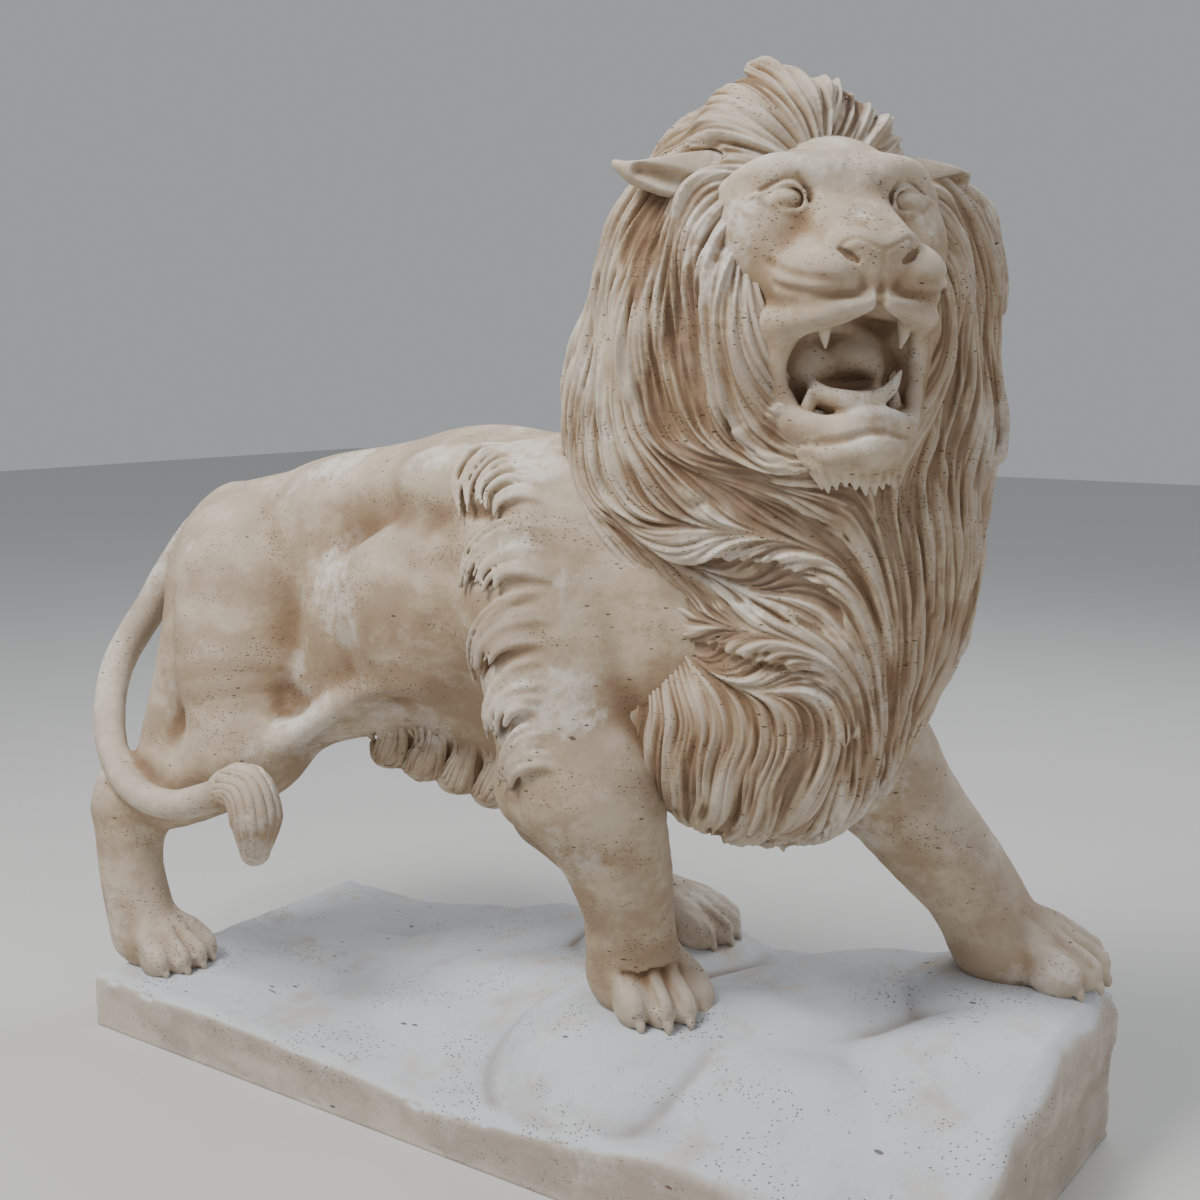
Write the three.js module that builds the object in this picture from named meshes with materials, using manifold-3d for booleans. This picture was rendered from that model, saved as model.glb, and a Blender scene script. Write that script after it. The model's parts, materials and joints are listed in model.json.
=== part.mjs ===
// A striding, roaring lion carved from one block of travertine together with its plinth.
//
// Millimetres, +Z up. The origin is in the middle of the plinth's underside. The lion faces +X and
// its right flank looks to -Y, where it also turns its head.
//
// The carving is one rounded form, described by its distance field: eggs and tapering limbs that
// melt into each other, and hollows taken out of them. The field is cut into a closed net of
// triangles, which is then thinned to the few that carry the shape, and joined to the sawn slab.

import * as THREE from 'three';
import { mergeVertices } from 'three/addons/utils/BufferGeometryUtils.js';
import Module from 'manifold-3d';

// Driving sizes, in millimetres
const FIGURE_HEIGHT = 1650;      // from the slab's top to the tip of the forelock
const PLINTH_LENGTH = 1800;
const PLINTH_WIDTH = 720;
const PLINTH_THICKNESS = 105;
const ROCK_RISE = 160;           // of the highest rock above the slab
const ROCK_SINK = 60;            // of the rock's root into the slab
const HIND_PAW_INSET = [45, 125];    // of the near hind paw from the slab's back and near edges
const FRONT_PAW_INSET = [145, 60];   // of the far front paw from the slab's front and far edges

// How finely the carving is cut and how many triangles are kept of it
const CELL = 1.15;               // in shares
const CARVED_TRIANGLES = 9300;
const EDGE_COST = 1e-5;          // that makes short edges go first where the surface is flat

// A figure keeps its pose, so its places are in shares, 165 to its height: the one that measures
// 1650 mm has shares of 10 mm. Shares are counted up from the slab's top.
const SHARE = FIGURE_HEIGHT / 165;
const shares = (millimetres) => millimetres / SHARE;
const HALF_LENGTH = shares(PLINTH_LENGTH) / 2;
const HALF_WIDTH = shares(PLINTH_WIDTH) / 2;
const ROCK_TOP = shares(ROCK_RISE);

// The head's own frame: x out of the face, y to the lion's left, z up, from between the eyes
const HEAD_PLACE = new THREE.Vector3(61, -15, 144.3);
const HEAD_YAW = -41;
const HEAD_PITCH = 4;

const rad = THREE.MathUtils.degToRad;
const vec = (x, y, z) => new THREE.Vector3(x, y, z);
const length3 = (x, y, z) => Math.sqrt(x * x + y * y + z * z);

/** Turning matrix from yaw about z, then pitch up, then roll, in degrees. */
function turning(yaw, pitch = 0, roll = 0) {
  const order = new THREE.Euler(rad(roll), -rad(pitch), rad(yaw), 'ZYX');
  return new THREE.Matrix4().makeRotationFromEuler(order);
}

const BODY = new THREE.Matrix4();
const HEAD = turning(HEAD_YAW, HEAD_PITCH).setPosition(HEAD_PLACE);
const FACE_FORWARD = vec(1, 0, 0).transformDirection(HEAD);
const FACE_LEFT = vec(0, 1, 0).transformDirection(HEAD);
const FACE_UP = vec(0, 0, 1).transformDirection(HEAD);

/** One form of the field: its distance, a ball that holds it and how it melts into the rest. */
class Form {
  constructor(centre, reach, blend, carve, distance) {
    this.centre = centre;
    this.reach = reach;
    this.blend = blend;
    this.carve = carve;
    this.distance = distance;
  }

  clearance(x, y, z) {
    return length3(x - this.centre.x, y - this.centre.y, z - this.centre.z) - this.reach;
  }
}

/** An egg with three half-axes, in the body's or the head's frame. */
function egg(place, radii, { frame = BODY, turn = [0, 0, 0], blend = 4, carve = false } = {}) {
  const matrix = frame.clone().multiply(turning(...turn).setPosition(vec(...place)));
  const e = matrix.clone().invert().elements;
  const [a, b, c] = radii;
  const centre = vec(0, 0, 0).applyMatrix4(matrix);
  const distance = (x, y, z) => {
    const px = (e[0] * x + e[4] * y + e[8] * z + e[12]) / a;
    const py = (e[1] * x + e[5] * y + e[9] * z + e[13]) / b;
    const pz = (e[2] * x + e[6] * y + e[10] * z + e[14]) / c;
    const k0 = length3(px, py, pz);
    const k1 = length3(px / a, py / b, pz / c);
    return k1 < 1e-9 ? -Math.min(a, b, c) : (k0 * (k0 - 1)) / k1;
  };
  return new Form(centre, Math.max(a, b, c), blend, carve, distance);
}

/** A limb through [x, y, z, radius] knots, rounded between them by a smooth curve. */
function limb(knots, { frame = BODY, blend = 3, carve = false, steps = 4 } = {}) {
  const places = knots.map(([x, y, z]) => vec(x, y, z).applyMatrix4(frame));
  const radii = knots.map((knot) => knot[3]);
  const spine = new THREE.CatmullRomCurve3(places);
  const count = (knots.length - 1) * steps;
  const beads = [];
  for (let i = 0; i <= count; i++) {
    const t = i / count;
    const at = t * (knots.length - 1);
    const k = Math.min(Math.floor(at), knots.length - 2);
    const ease = at - k;
    beads.push({ p: spine.getPoint(t), r: THREE.MathUtils.lerp(radii[k], radii[k + 1], ease) });
  }
  const box = new THREE.Box3().setFromPoints(beads.map((bead) => bead.p));
  const centre = box.getCenter(vec(0, 0, 0));
  const reach = Math.max(...beads.map((bead) => bead.p.distanceTo(centre) + bead.r));
  const distance = (x, y, z) => {
    let best = Infinity;
    for (let i = 0; i < count; i++) {
      const a = beads[i];
      const b = beads[i + 1];
      const bx = b.p.x - a.p.x;
      const by = b.p.y - a.p.y;
      const bz = b.p.z - a.p.z;
      const px = x - a.p.x;
      const py = y - a.p.y;
      const pz = z - a.p.z;
      const along = (px * bx + py * by + pz * bz) / (bx * bx + by * by + bz * bz);
      const t = Math.min(1, Math.max(0, along));
      const d = length3(px - t * bx, py - t * by, pz - t * bz) - (a.r + t * (b.r - a.r));
      if (d < best) best = d;
    }
    return best;
  };
  return new Form(centre, reach, blend, carve, distance);
}

/** The same forms on both sides of the plane y = 0 of their frame. */
function bothSides(make) {
  return [-1, 1].flatMap((side) => make(side));
}

/** Smooth union of two distances that melts them over a width of blend. */
function melt(a, b, blend) {
  const h = Math.max(blend - Math.abs(a - b), 0) / blend;
  return Math.min(a, b) - (h * h * blend) / 4;
}

/** Distance to a list of forms, taken in their order. */
function fieldOf(forms, x, y, z) {
  let d = 1e3;
  for (const form of forms) {
    const gap = form.clearance(x, y, z);
    if (form.carve) {
      if (gap > form.blend - d) continue;
      d = -melt(-d, form.distance(x, y, z), form.blend);
    } else {
      if (gap > d + form.blend) continue;
      d = melt(d, form.distance(x, y, z), form.blend);
    }
  }
  return d;
}

// The trunk, from the chest to the croup
function trunk() {
  return [
    egg([22, 0, 83], [30, 21, 31], { blend: 6 }),
    egg([-14, 0, 81], [38, 21.5, 29], { blend: 8 }),
    egg([-42, 0, 76], [28, 16, 25], { blend: 8 }),
    egg([-46, 0, 87], [32, 14, 16.2], { blend: 8 }),
    egg([-75, 0, 80.5], [21, 17, 16.8], { blend: 6 }),
    ...bothSides((side) => [
      egg([-44, side * 8, 63], [17, 10, 12], { blend: 6 }),
      egg([-38, side * 21, 92], [15, 5.5, 7], { blend: 9, carve: true }),
      egg([-20, side * 17.6, 79], [14, 5, 14], { blend: 10 }),
    ]),
  ];
}

// Curled lobes of hair along the belly, each hooked back
function bellyFringe() {
  const LOBES = 5;
  const keel = limb([[-44, 0, 58, 6], [-22, 0, 55.5, 7.5], [2, 0, 53, 9]], { blend: 5 });
  const lobes = Array.from({ length: LOBES }, (_, i) => {
    const x = -38 + 8.4 * i;
    const drop = 49.5 - 1.2 * i;
    return bothSides((side) => [
      limb([[x + 5, side * 3, drop + 4.5, 4.4], [x + 2.5, side * 4, drop, 4],
        [x - 1.8, side * 4, drop - 1.8, 2.2], [x - 3.4, side * 4, drop, 1]], { blend: 1.2 }),
    ]);
  });
  return [keel, ...lobes.flat()];
}

/** A paw on the ground at its place: a pad, four toes and their claws. */
function paw([x, y, z], yaw, size) {
  const frame = turning(yaw).setPosition(vec(x, y, z));
  const forms = [egg([-1, 0, 4.2 * size], [9 * size, 7 * size, 5.4 * size], { frame, blend: 3 })];
  for (const toe of [-1.5, -0.5, 0.5, 1.5]) {
    const forward = (7.2 - 0.7 * toe * toe) * size;
    const across = toe * 3.7 * size;
    const fan = toe * 6;
    forms.push(egg([forward, across, 3.6 * size], [5.6 * size, 2.2 * size, 3.9 * size],
      { frame, turn: [fan, -14, 0], blend: 0.9 }));
    forms.push(egg([forward + 4.4 * size, across * 1.1, 1.9 * size], [2.4 * size, 1.3 * size, 1.7 * size],
      { frame, turn: [fan, -30, 0], blend: 0.8 }));
  }
  return forms;
}

/** Leg knots [x, y, z, radius, follow]: the lower ones follow their paw when it is set elsewhere. */
function leg(knots, drawn, place, blend) {
  const moved = knots.map(([x, y, z, r, follow]) => [
    x + follow * (place[0] - drawn[0]),
    y + follow * (place[1] - drawn[1]),
    z + follow * (place[2] - drawn[2]),
    r,
  ]);
  return limb(moved, { blend });
}

const NEAR_HIND = [-HALF_LENGTH + shares(HIND_PAW_INSET[0]), -HALF_WIDTH + shares(HIND_PAW_INSET[1]), 0];
const FAR_FRONT = [
  HALF_LENGTH - shares(FRONT_PAW_INSET[0]),
  HALF_WIDTH - shares(FRONT_PAW_INSET[1]),
  ROCK_TOP + 1,
];
const NEAR_FRONT = [23, -8, ROCK_TOP * 0.76];
const FAR_HIND = [8, 27, ROCK_TOP * 0.65];

function nearHindLeg() {
  const drawn = [-85.5, -23.5, 0];
  const shift = (knots) => leg(knots, drawn, NEAR_HIND, 4);
  return [
    egg([-73, -9, 68], [18, 13, 24], { blend: 5 }),
    shift([[-70, -9, 80, 14, 0], [-67, -15, 63, 13, 0.2], [-62, -18, 48, 10, 0.4]]),
    shift([[-86, -9, 76, 8.5, 0], [-87, -14, 60, 8.2, 0.3], [-88, -19, 44, 6.5, 0.7]]),
    shift([[-61, -18, 48, 10, 0.4], [-77, -20, 38.5, 8.4, 0.7], [-93, -22, 32, 6.8, 1]]),
    shift([[-99.5, -22, 35, 3.6, 1], [-94, -23, 31, 7, 1], [-92, -24.5, 19, 6.4, 1],
      [-89, -24.5, 8, 6.6, 1]]),
    shift([[-28, -13, 61, 3, 0], [-42, -16, 54.5, 3.2, 0.1], [-57, -18, 46, 4.5, 0.4]]),
    ...paw(NEAR_HIND, -4, 1),
  ];
}

function farHindLeg() {
  const drawn = [8, 27, 10];
  const shift = (knots) => leg(knots, drawn, FAR_HIND, 4);
  return [
    egg([-70, 9, 70], [18, 12, 22], { blend: 5 }),
    shift([[-68, 10, 78, 14.5, 0], [-52, 15, 66, 13, 0.1], [-36, 18, 55, 10.5, 0.3]]),
    shift([[-36, 18, 56, 10, 0.3], [-27, 20, 44, 7.6, 0.6], [-20, 21, 33, 6.4, 0.8]]),
    shift([[-25, 21, 36, 3.6, 0.8], [-19, 21.5, 31, 6.6, 0.8], [-8, 24, 22, 6, 1], [3, 26, 16, 6.4, 1]]),
    ...paw(FAR_HIND, 6, 1),
  ];
}

function nearFrontLeg() {
  const drawn = [24, -9, 10.2];
  const shift = (knots) => leg(knots, drawn, NEAR_FRONT, 4);
  return [
    egg([7, -13, 86], [17, 14, 22], { blend: 6 }),
    shift([[9, -15, 82, 13, 0], [13, -18, 66, 12.5, 0], [19, -19, 52, 11.5, 0.3]]),
    shift([[19, -18, 52, 11.5, 0.3], [23, -16, 39, 9, 0.7], [23, -12.5, 28, 7.6, 1], [22, -9.5, 17, 8, 1]]),
    egg([8, -20, 51], [6, 6, 7], { blend: 5 }),
    ...paw(NEAR_FRONT, -30, 1.08),
  ];
}

function farFrontLeg() {
  const drawn = [75.5, 30, 16.5];
  const shift = (knots) => leg(knots, drawn, FAR_FRONT, 4);
  return [
    egg([16, 13, 84], [18, 14, 22], { blend: 6 }),
    shift([[22, 15, 80, 14, 0], [38, 18, 66, 13, 0.1], [50, 20.5, 54, 11, 0.3]]),
    shift([[50, 20.5, 54, 11, 0.3], [59, 23.5, 42, 9.4, 0.6], [66.5, 27, 32, 8.2, 0.9],
      [71.5, 29, 23, 8, 1]]),
    ...paw(FAR_FRONT, 3, 1.15),
  ];
}

// The tail swings out behind, comes round in front of the hock and ends in a hanging tuft
function tail() {
  const reach = [
    [-84, 0, 90, 6], [-95.8, 0, 84.7, 4.4], [-104, -6, 70.7, 3.6], [-107, -14, 57.5, 3.3],
    [-100, -22, 47.5, 3.2], [-90, -28, 41.2, 3.1], [-79, -31.5, 38, 3.1], [-67, -33, 38.3, 3.1],
    [-56, -33, 41.8, 3.2], [-50, -33, 44.5, 3.4],
  ];
  const tuft = [[-52, -33, 44, 3.4], [-47, -33, 44.5, 4.5], [-44.5, -33, 39, 4.7], [-46, -33, 30, 2.6]];
  return [limb(reach, { blend: 3, steps: 4 }), limb(tuft, { blend: 2 })];
}

// The skull, the muzzle and the open mouth, in the head's frame
function face() {
  const h = { frame: HEAD };
  const pair = bothSides((s) => [
    limb([[-0.8, s * 2.6, 1.6, 2.2], [-1.8, s * 9, 3.2, 2.6], [-6.5, s * 15, 0.8, 2.2]], { ...h, blend: 2 }),
    egg([-6, s * 10.5, -8], [8, 5.5, 9.5], { ...h, blend: 4 }),
    egg([6.2, s * 5.4, -12], [7.4, 6.4, 6.2], { ...h, blend: 1.6 }),
    egg([-1, s * 8.8, -21], [7, 3.6, 6], { ...h, blend: 3 }),
    limb([[6.5, s * 4, -31.5, 2.2], [2.5, s * 9.2, -29.5, 2.2], [-5, s * 11.8, -24, 3.4],
      [-12, s * 12, -18, 5]], { ...h, blend: 2 }),
  ]);
  const solid = [
    egg([-12, 0, -2], [15, 14, 13], { ...h, blend: 4 }),
    egg([-4, 0, 2], [6, 8, 5.5], { ...h, blend: 3 }),
    egg([-14, 0, -22], [14, 13, 17], { ...h, blend: 4 }),
    limb([[-3, 0, 0.5, 5], [5, 0, -3.6, 4.6], [11, 0, -6.6, 3.8]], { ...h, blend: 3 }),
    ...pair,
    egg([11.3, 0, -7.4], [3.2, 5.2, 2.9], { ...h, turn: [0, 12, 0], blend: 1.4 }),
    egg([11.5, 0, -10.5], [2.2, 2.8, 3.4], { ...h, blend: 1.4 }),
    egg([3.6, 0, -34], [6, 7, 3.9], { ...h, blend: 2 }),
    egg([-6, 0, -33.5], [12, 9.5, 4.6], { ...h, blend: 3 }),
    egg([2.5, 0, -38], [4.2, 6.5, 3.2], { ...h, blend: 1.5 }),
  ];
  const hollows = [
    ...bothSides((s) => [
      egg([1.8, s * 5.6, -1.2], [3, 2.4, 2.4], { ...h, blend: 2, carve: true }),
      egg([-0.6, s * 8.6, -0.6], [2.6, 4, 2.1], { ...h, blend: 1.5, carve: true }),
      egg([12.2, s * 3.7, -9.6], [2, 1.5, 1.1], { ...h, blend: 0.6, carve: true }),
    ]),
    egg([13.6, 0, -13.5], [2.2, 0.6, 3.6], { ...h, blend: 0.8, carve: true }),
    egg([4, 0, -24.6], [13, 8.6, 6.4], { ...h, turn: [0, 12, 0], blend: 1.2, carve: true }),
    egg([9, 0, -20.5], [6, 4.6, 4], { ...h, blend: 1.5, carve: true }),
  ];
  const inside = [
    ...bothSides((s) => [
      egg([-1.6, s * 9, -0.7], [2.8, 3.5, 2], { ...h, blend: 0.5 }),
      limb([[8.2, s * 5.8, -17.5, 1.3], [8.3, s * 5.9, -19.5, 1], [8, s * 5.8, -22, 0.4]],
        { ...h, blend: 0.5 }),
      limb([[4.8, s * 6.2, -31, 1.3], [4.9, s * 6.2, -28.5, 0.9], [4.6, s * 6.1, -27, 0.4]],
        { ...h, blend: 0.5 }),
    ]),
    egg([-3, 0, -24], [6.5, 5.4, 5], { ...h, blend: 1.5 }),
    egg([2.5, 0, -28.8], [6.5, 5.6, 2.6], { ...h, turn: [0, -6, 0], blend: 1.5 }),
    limb([[2.5, -5.6, -26.6, 0.8], [7.2, -3, -28.3, 0.9], [8.2, 0, -28.9, 0.9], [7.2, 3, -28.3, 0.9],
      [2.5, 5.6, -26.6, 0.8]], { ...h, blend: 0.8 }),
  ];
  return [...solid, ...hollows, ...inside];
}

// Ears held flat and out, hollow below
function ears() {
  const h = { frame: HEAD };
  return bothSides((s) => {
    const out = s < 0 ? 1 : 0.9;
    return [
      limb([[-11, s * 14, 3.2, 4.4], [-13, s * 20 * out, 4.6, 3.6], [-14.5, s * 24.5 * out, 6, 2.4],
        [-16, s * 28.5 * out, 7.4, 0.9]], { ...h, blend: 1.5 }),
      limb([[-8.6, s * 18, 2.2, 1.6], [-10, s * 22 * out, 3.2, 1.7], [-12.5, s * 26 * out, 4.6, 1]],
        { ...h, blend: 1, carve: true }),
    ];
  });
}

// The mass of the mane that the locks lie on
function maneMass() {
  const h = { frame: HEAD };
  return [
    egg([35.5, 0, 112], [28, 26, 33], { blend: 6 }),
    egg([48, 4, 92], [25, 23, 34], { blend: 6 }),
    egg([44, -1, 67], [21, 19, 22.5], { blend: 6 }),
    egg([36, -5, 62], [15, 15, 16], { blend: 4 }),
    egg([-22, 2.4, -11], [17, 32.4, 30.5], { ...h, blend: 6 }),
    egg([-20, 19, -32], [13, 14, 16], { ...h, blend: 6 }),
    egg([-18, 23, 22], [24, 20, 15], { ...h, blend: 8, carve: true }),
    egg([-13, -6, 8.6], [10.5, 14, 13], { ...h, blend: 3 }),
    limb([[-8, -3, 13, 4], [-11, -6.5, 19, 3], [-12.5, -9.5, 21.6, 1.2]], { ...h, blend: 2 }),
    limb([[16, -8, 104, 5], [9, -9, 102, 4.5], [4.5, -9, 99, 2.6], [3, -9, 96, 1]], { blend: 2.5 }),
  ];
}

const smooth = THREE.MathUtils.smoothstep;
const MASS = maneMass();
const NECK_AXIS = 36;
const FACE_MIDDLE = vec(0, 0, -13).applyMatrix4(HEAD);

/** Which way the hair is combed at a place: round the face above, forward and down below. */
function combing(p) {
  const out = p.clone().sub(FACE_MIDDLE);
  const behind = -out.dot(FACE_FORWARD);
  out.addScaledVector(FACE_FORWARD, behind);
  const side = out.dot(FACE_LEFT) < 0 ? 1 : -1;
  out.normalize();
  const top = out.dot(FACE_UP);
  const round = FACE_FORWARD.clone().cross(out).multiplyScalar(side);
  round.addScaledVector(out, 0.12 + 0.5 * smooth(top, 0.6, 1));
  round.addScaledVector(FACE_FORWARD, -0.12 - 0.9 * smooth(top, 0.2, 1)).normalize();
  round.lerp(vec(-0.4, 0, -1), smooth(behind, 16, 30));

  const turn = Math.atan2(p.y, p.x - NECK_AXIS);
  const fromFront = Math.abs(turn) / Math.PI;
  const fall = 0.5 + 1.6 * smooth(fromFront, 0.5, 0.8) + 1.4 * (1 - smooth(fromFront, 0.04, 0.22));
  const ahead = turn < 0 ? 1 : -1;
  const sweep = vec(-Math.sin(turn) * ahead, Math.cos(turn) * ahead, -fall).normalize();
  return sweep.lerp(round, smooth(p.z, 98, 116));
}

/** Outward direction of the mane's mass at a place. */
function outward(p) {
  const e = 0.5;
  const d = fieldOf(MASS, p.x, p.y, p.z);
  return vec(
    fieldOf(MASS, p.x + e, p.y, p.z) - d,
    fieldOf(MASS, p.x, p.y + e, p.z) - d,
    fieldOf(MASS, p.x, p.y, p.z + e) - d,
  ).normalize();
}

/** Follows the combing over the mane's mass from a start, in steps of a given length. */
function combedPath(start, length, step) {
  const p = start.clone();
  const path = [];
  for (let run = 0; run <= length; run += step) {
    const up = outward(p);
    p.addScaledVector(up, -fieldOf(MASS, p.x, p.y, p.z));
    path.push({ p: p.clone(), up });
    const way = combing(p);
    way.addScaledVector(up, -way.dot(up)).normalize();
    p.addScaledVector(way, step);
  }
  return path;
}

/** Pointed tufts that hook back over the hind edge of each shoulder. */
function shoulderTufts() {
  const TUFTS = 5;
  return Array.from({ length: TUFTS }, (_, i) => {
    const z = 102 - 9.5 * i;
    const x = -4 + 1.8 * i;
    return bothSides((side) => {
      const across = (side < 0 ? 16 : 12.5) + 12 * Math.sin((Math.PI / 2) * Math.min(1, (i + 0.3) / 2.6));
      return [
        limb([[x + 14, side * (across - 2), z + 4, 5], [x + 6, side * (across - 0.5), z + 3.4, 4.4],
          [x, side * (across - 0.8), z, 3], [x - 2.5, side * (across - 1.5), z - 4, 1.1]], { blend: 2 }),
      ];
    });
  }).flat();
}

/** The locks: tapering ridges that start deep in the mass, follow the combing and end proud. */
function maneLocks() {
  const LOCKS = 150;
  const GOLDEN = Math.PI * (3 - Math.sqrt(5));
  const middle = vec(40, 0, 108);
  const forms = [];
  for (let i = 0; i < LOCKS; i++) {
    const height = 1 - (2 * (i + 0.5)) / LOCKS;
    const around = i * GOLDEN;
    const flat = Math.sqrt(1 - height * height);
    const way = vec(flat * Math.cos(around), flat * Math.sin(around), height);
    const start = middle.clone();
    while (fieldOf(MASS, start.x, start.y, start.z) < 0) start.add(way);
    const toFace = start.clone().sub(FACE_MIDDLE);
    const ahead = toFace.dot(FACE_FORWARD);
    const fromAxis = toFace.addScaledVector(FACE_FORWARD, -ahead).length();
    if (ahead > -8 && fromAxis < 20) continue;
    const length = 26 + 10 * ((i * 0.618) % 1);
    const path = combedPath(start, length, 4);
    const last = path.length - 1;
    const knots = path.map(({ p, up }, k) => {
      const t = k / last;
      const r = 0.6 + 2.3 * Math.sin(Math.PI * Math.pow(0.12 + 0.88 * t, 0.8)) ** 0.7;
      const lift = THREE.MathUtils.lerp(-1.6, -0.2, t);
      return [p.x + up.x * lift, p.y + up.y * lift, p.z + up.z * lift, r];
    });
    forms.push(limb(knots, { blend: 0.8, steps: 1 }));
  }
  return forms;
}

/** A soft hill, 1 high at its top. */
function hill(x, y, middleX, middleY, lengthwise, crosswise) {
  return Math.exp(-(((x - middleX) / lengthwise) ** 2) - ((y - middleY) / crosswise) ** 2);
}

/** Height of the ground above the slab: flat at the back, rising to the far front corner. */
function groundHeight(x, y) {
  const climb = 0.95 * smooth(x, -80, HALF_LENGTH - 20) * smooth(y, -HALF_WIDTH - 2, 2);
  const hills = 0.2 * hill(x, y, NEAR_FRONT[0], NEAR_FRONT[1], 18, 12)
    + 0.1 * hill(x, y, -30, HALF_WIDTH, 26, 12)
    + 0.12 * hill(x, y, FAR_FRONT[0], FAR_FRONT[1], 22, 14)
    + 0.34 * hill(x, y, HALF_LENGTH - 24, -HALF_WIDTH + 17, 22, 11);
  const dips = 0.12 * hill(x, y, 2, 4, 20, 10) + 0.16 * hill(x, y, 48, 10, 22, 10);
  return ROCK_TOP * (climb + hills - dips) - 0.6;
}

const FIGURE = [
  ...trunk(), ...nearHindLeg(), ...farHindLeg(), ...nearFrontLeg(), ...farFrontLeg(), ...tail(),
  ...MASS, ...maneLocks(), ...shoulderTufts(), ...bellyFringe(), ...face(), ...ears(),
];

// How far the rock's rounded lumps stand out over the sawn face at the front, in shares
const FRONT_OVERHANG = 1.6;

/** The whole carving above the slab; the rock stops at the sawn sides, but for the front's lumps. */
function carvedField(forms, x, y, z) {
  const figure = fieldOf(forms, x, y, z);
  if (z > 2 * ROCK_TOP) return figure;
  const lumps = FRONT_OVERHANG * smooth(z, 1, 7) * (0.6 + 0.4 * Math.cos(y / 3.4));
  const sides = Math.max(x - HALF_LENGTH - lumps, -HALF_LENGTH - x, Math.abs(y) - HALF_WIDTH) + 0.2;
  const rocky = Math.max(0.85 * (z - groundHeight(x, y)), sides, -z - shares(ROCK_SINK));
  return melt(figure, rocky, 1.5);
}

/** Samples the carving over a box of cells, block by block with the forms that reach each. */
function sampleCarving(low, counts, cell) {
  const [nx, ny, nz] = counts;
  const values = new Float32Array(nx * ny * nz).fill(1e3);
  const BLOCK = 8;
  const NEAR = 5;
  const half = (BLOCK * cell) / 2;
  const radius = half * Math.sqrt(3);
  for (let bz = 0; bz < nz; bz += BLOCK) {
    for (let by = 0; by < ny; by += BLOCK) {
      for (let bx = 0; bx < nx; bx += BLOCK) {
        const [x, y, z] = [low.x + bx * cell + half, low.y + by * cell + half, low.z + bz * cell + half];
        const forms = FIGURE.filter((form) => form.clearance(x, y, z) < radius + form.blend + NEAR);
        const middle = carvedField(forms, x, y, z);
        if (middle > 3 * radius) continue;
        const deep = middle < -3 * radius;
        for (let k = bz; k < Math.min(bz + BLOCK, nz); k++) {
          for (let j = by; j < Math.min(by + BLOCK, ny); j++) {
            for (let i = bx; i < Math.min(bx + BLOCK, nx); i++) {
              values[i + nx * (j + ny * k)] = deep
                ? middle
                : carvedField(forms, low.x + i * cell, low.y + j * cell, low.z + k * cell);
            }
          }
        }
      }
    }
  }
  return values;
}

/** Net of triangles where the sampled field is zero, cell by cell in six tetrahedra. */
function carvedNet(low, high, cell) {
  const counts = ['x', 'y', 'z'].map((axis) => Math.ceil((high[axis] - low[axis]) / cell) + 1);
  const [nx, ny] = counts;
  const values = sampleCarving(low, counts, cell);
  const CORNERS = [0, 1, nx, nx + 1, nx * ny, nx * ny + 1, nx * ny + nx, nx * ny + nx + 1];
  const TETRAHEDRA = [[0, 1, 3, 7], [0, 3, 2, 7], [0, 2, 6, 7], [0, 6, 4, 7], [0, 4, 5, 7], [0, 5, 1, 7]];
  const positions = [];
  const triangles = [];
  const known = new Map();
  const point = (index) => {
    const i = index % nx;
    const j = Math.floor(index / nx) % ny;
    const k = Math.floor(index / (nx * ny));
    return [low.x + i * cell, low.y + j * cell, low.z + k * cell];
  };
  const crossing = (a, b) => {
    const [from, to] = a < b ? [a, b] : [b, a];
    const key = from * 8 + CORNERS.indexOf(to - from);
    if (known.has(key)) return known.get(key);
    const t = Math.min(0.92, Math.max(0.08, values[from] / (values[from] - values[to])));
    const p = point(from);
    const q = point(to);
    positions.push(...p.map((value, axis) => value + t * (q[axis] - value)));
    known.set(key, positions.length / 3 - 1);
    return positions.length / 3 - 1;
  };
  const cut = (corners) => {
    const inside = corners.filter((c) => values[c] < 0);
    const outside = corners.filter((c) => values[c] >= 0);
    if (inside.length === 0 || outside.length === 0) return;
    const swaps = corners.map((c) => (values[c] < 0 ? 0 : 1));
    let odd = 0;
    for (let i = 0; i < 4; i++) {
      for (let j = i + 1; j < 4; j++) {
        odd ^= swaps[i] & ~swaps[j] & 1;
      }
    }
    const face = (a, b, c) => triangles.push(...(odd ? [a, c, b] : [a, b, c]));
    if (inside.length === 1) {
      face(...outside.map((o) => crossing(inside[0], o)));
    } else if (inside.length === 3) {
      const [a, b, c] = inside.map((i) => crossing(i, outside[0]));
      face(a, b, c);
    } else {
      const [i, j] = inside;
      const [o, p] = outside;
      const ring = [crossing(i, o), crossing(i, p), crossing(j, p), crossing(j, o)];
      face(ring[0], ring[1], ring[2]);
      face(ring[0], ring[2], ring[3]);
    }
  };
  for (let k = 0; k < counts[2] - 1; k++) {
    for (let j = 0; j < ny - 1; j++) {
      for (let i = 0; i < nx - 1; i++) {
        const base = i + nx * (j + ny * k);
        const first = values[base] < 0;
        if (CORNERS.every((offset) => (values[base + offset] < 0) === first)) continue;
        for (const corners of TETRAHEDRA) cut(corners.map((c) => base + CORNERS[c]));
      }
    }
  }
  return { positions, triangles };
}

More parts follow.
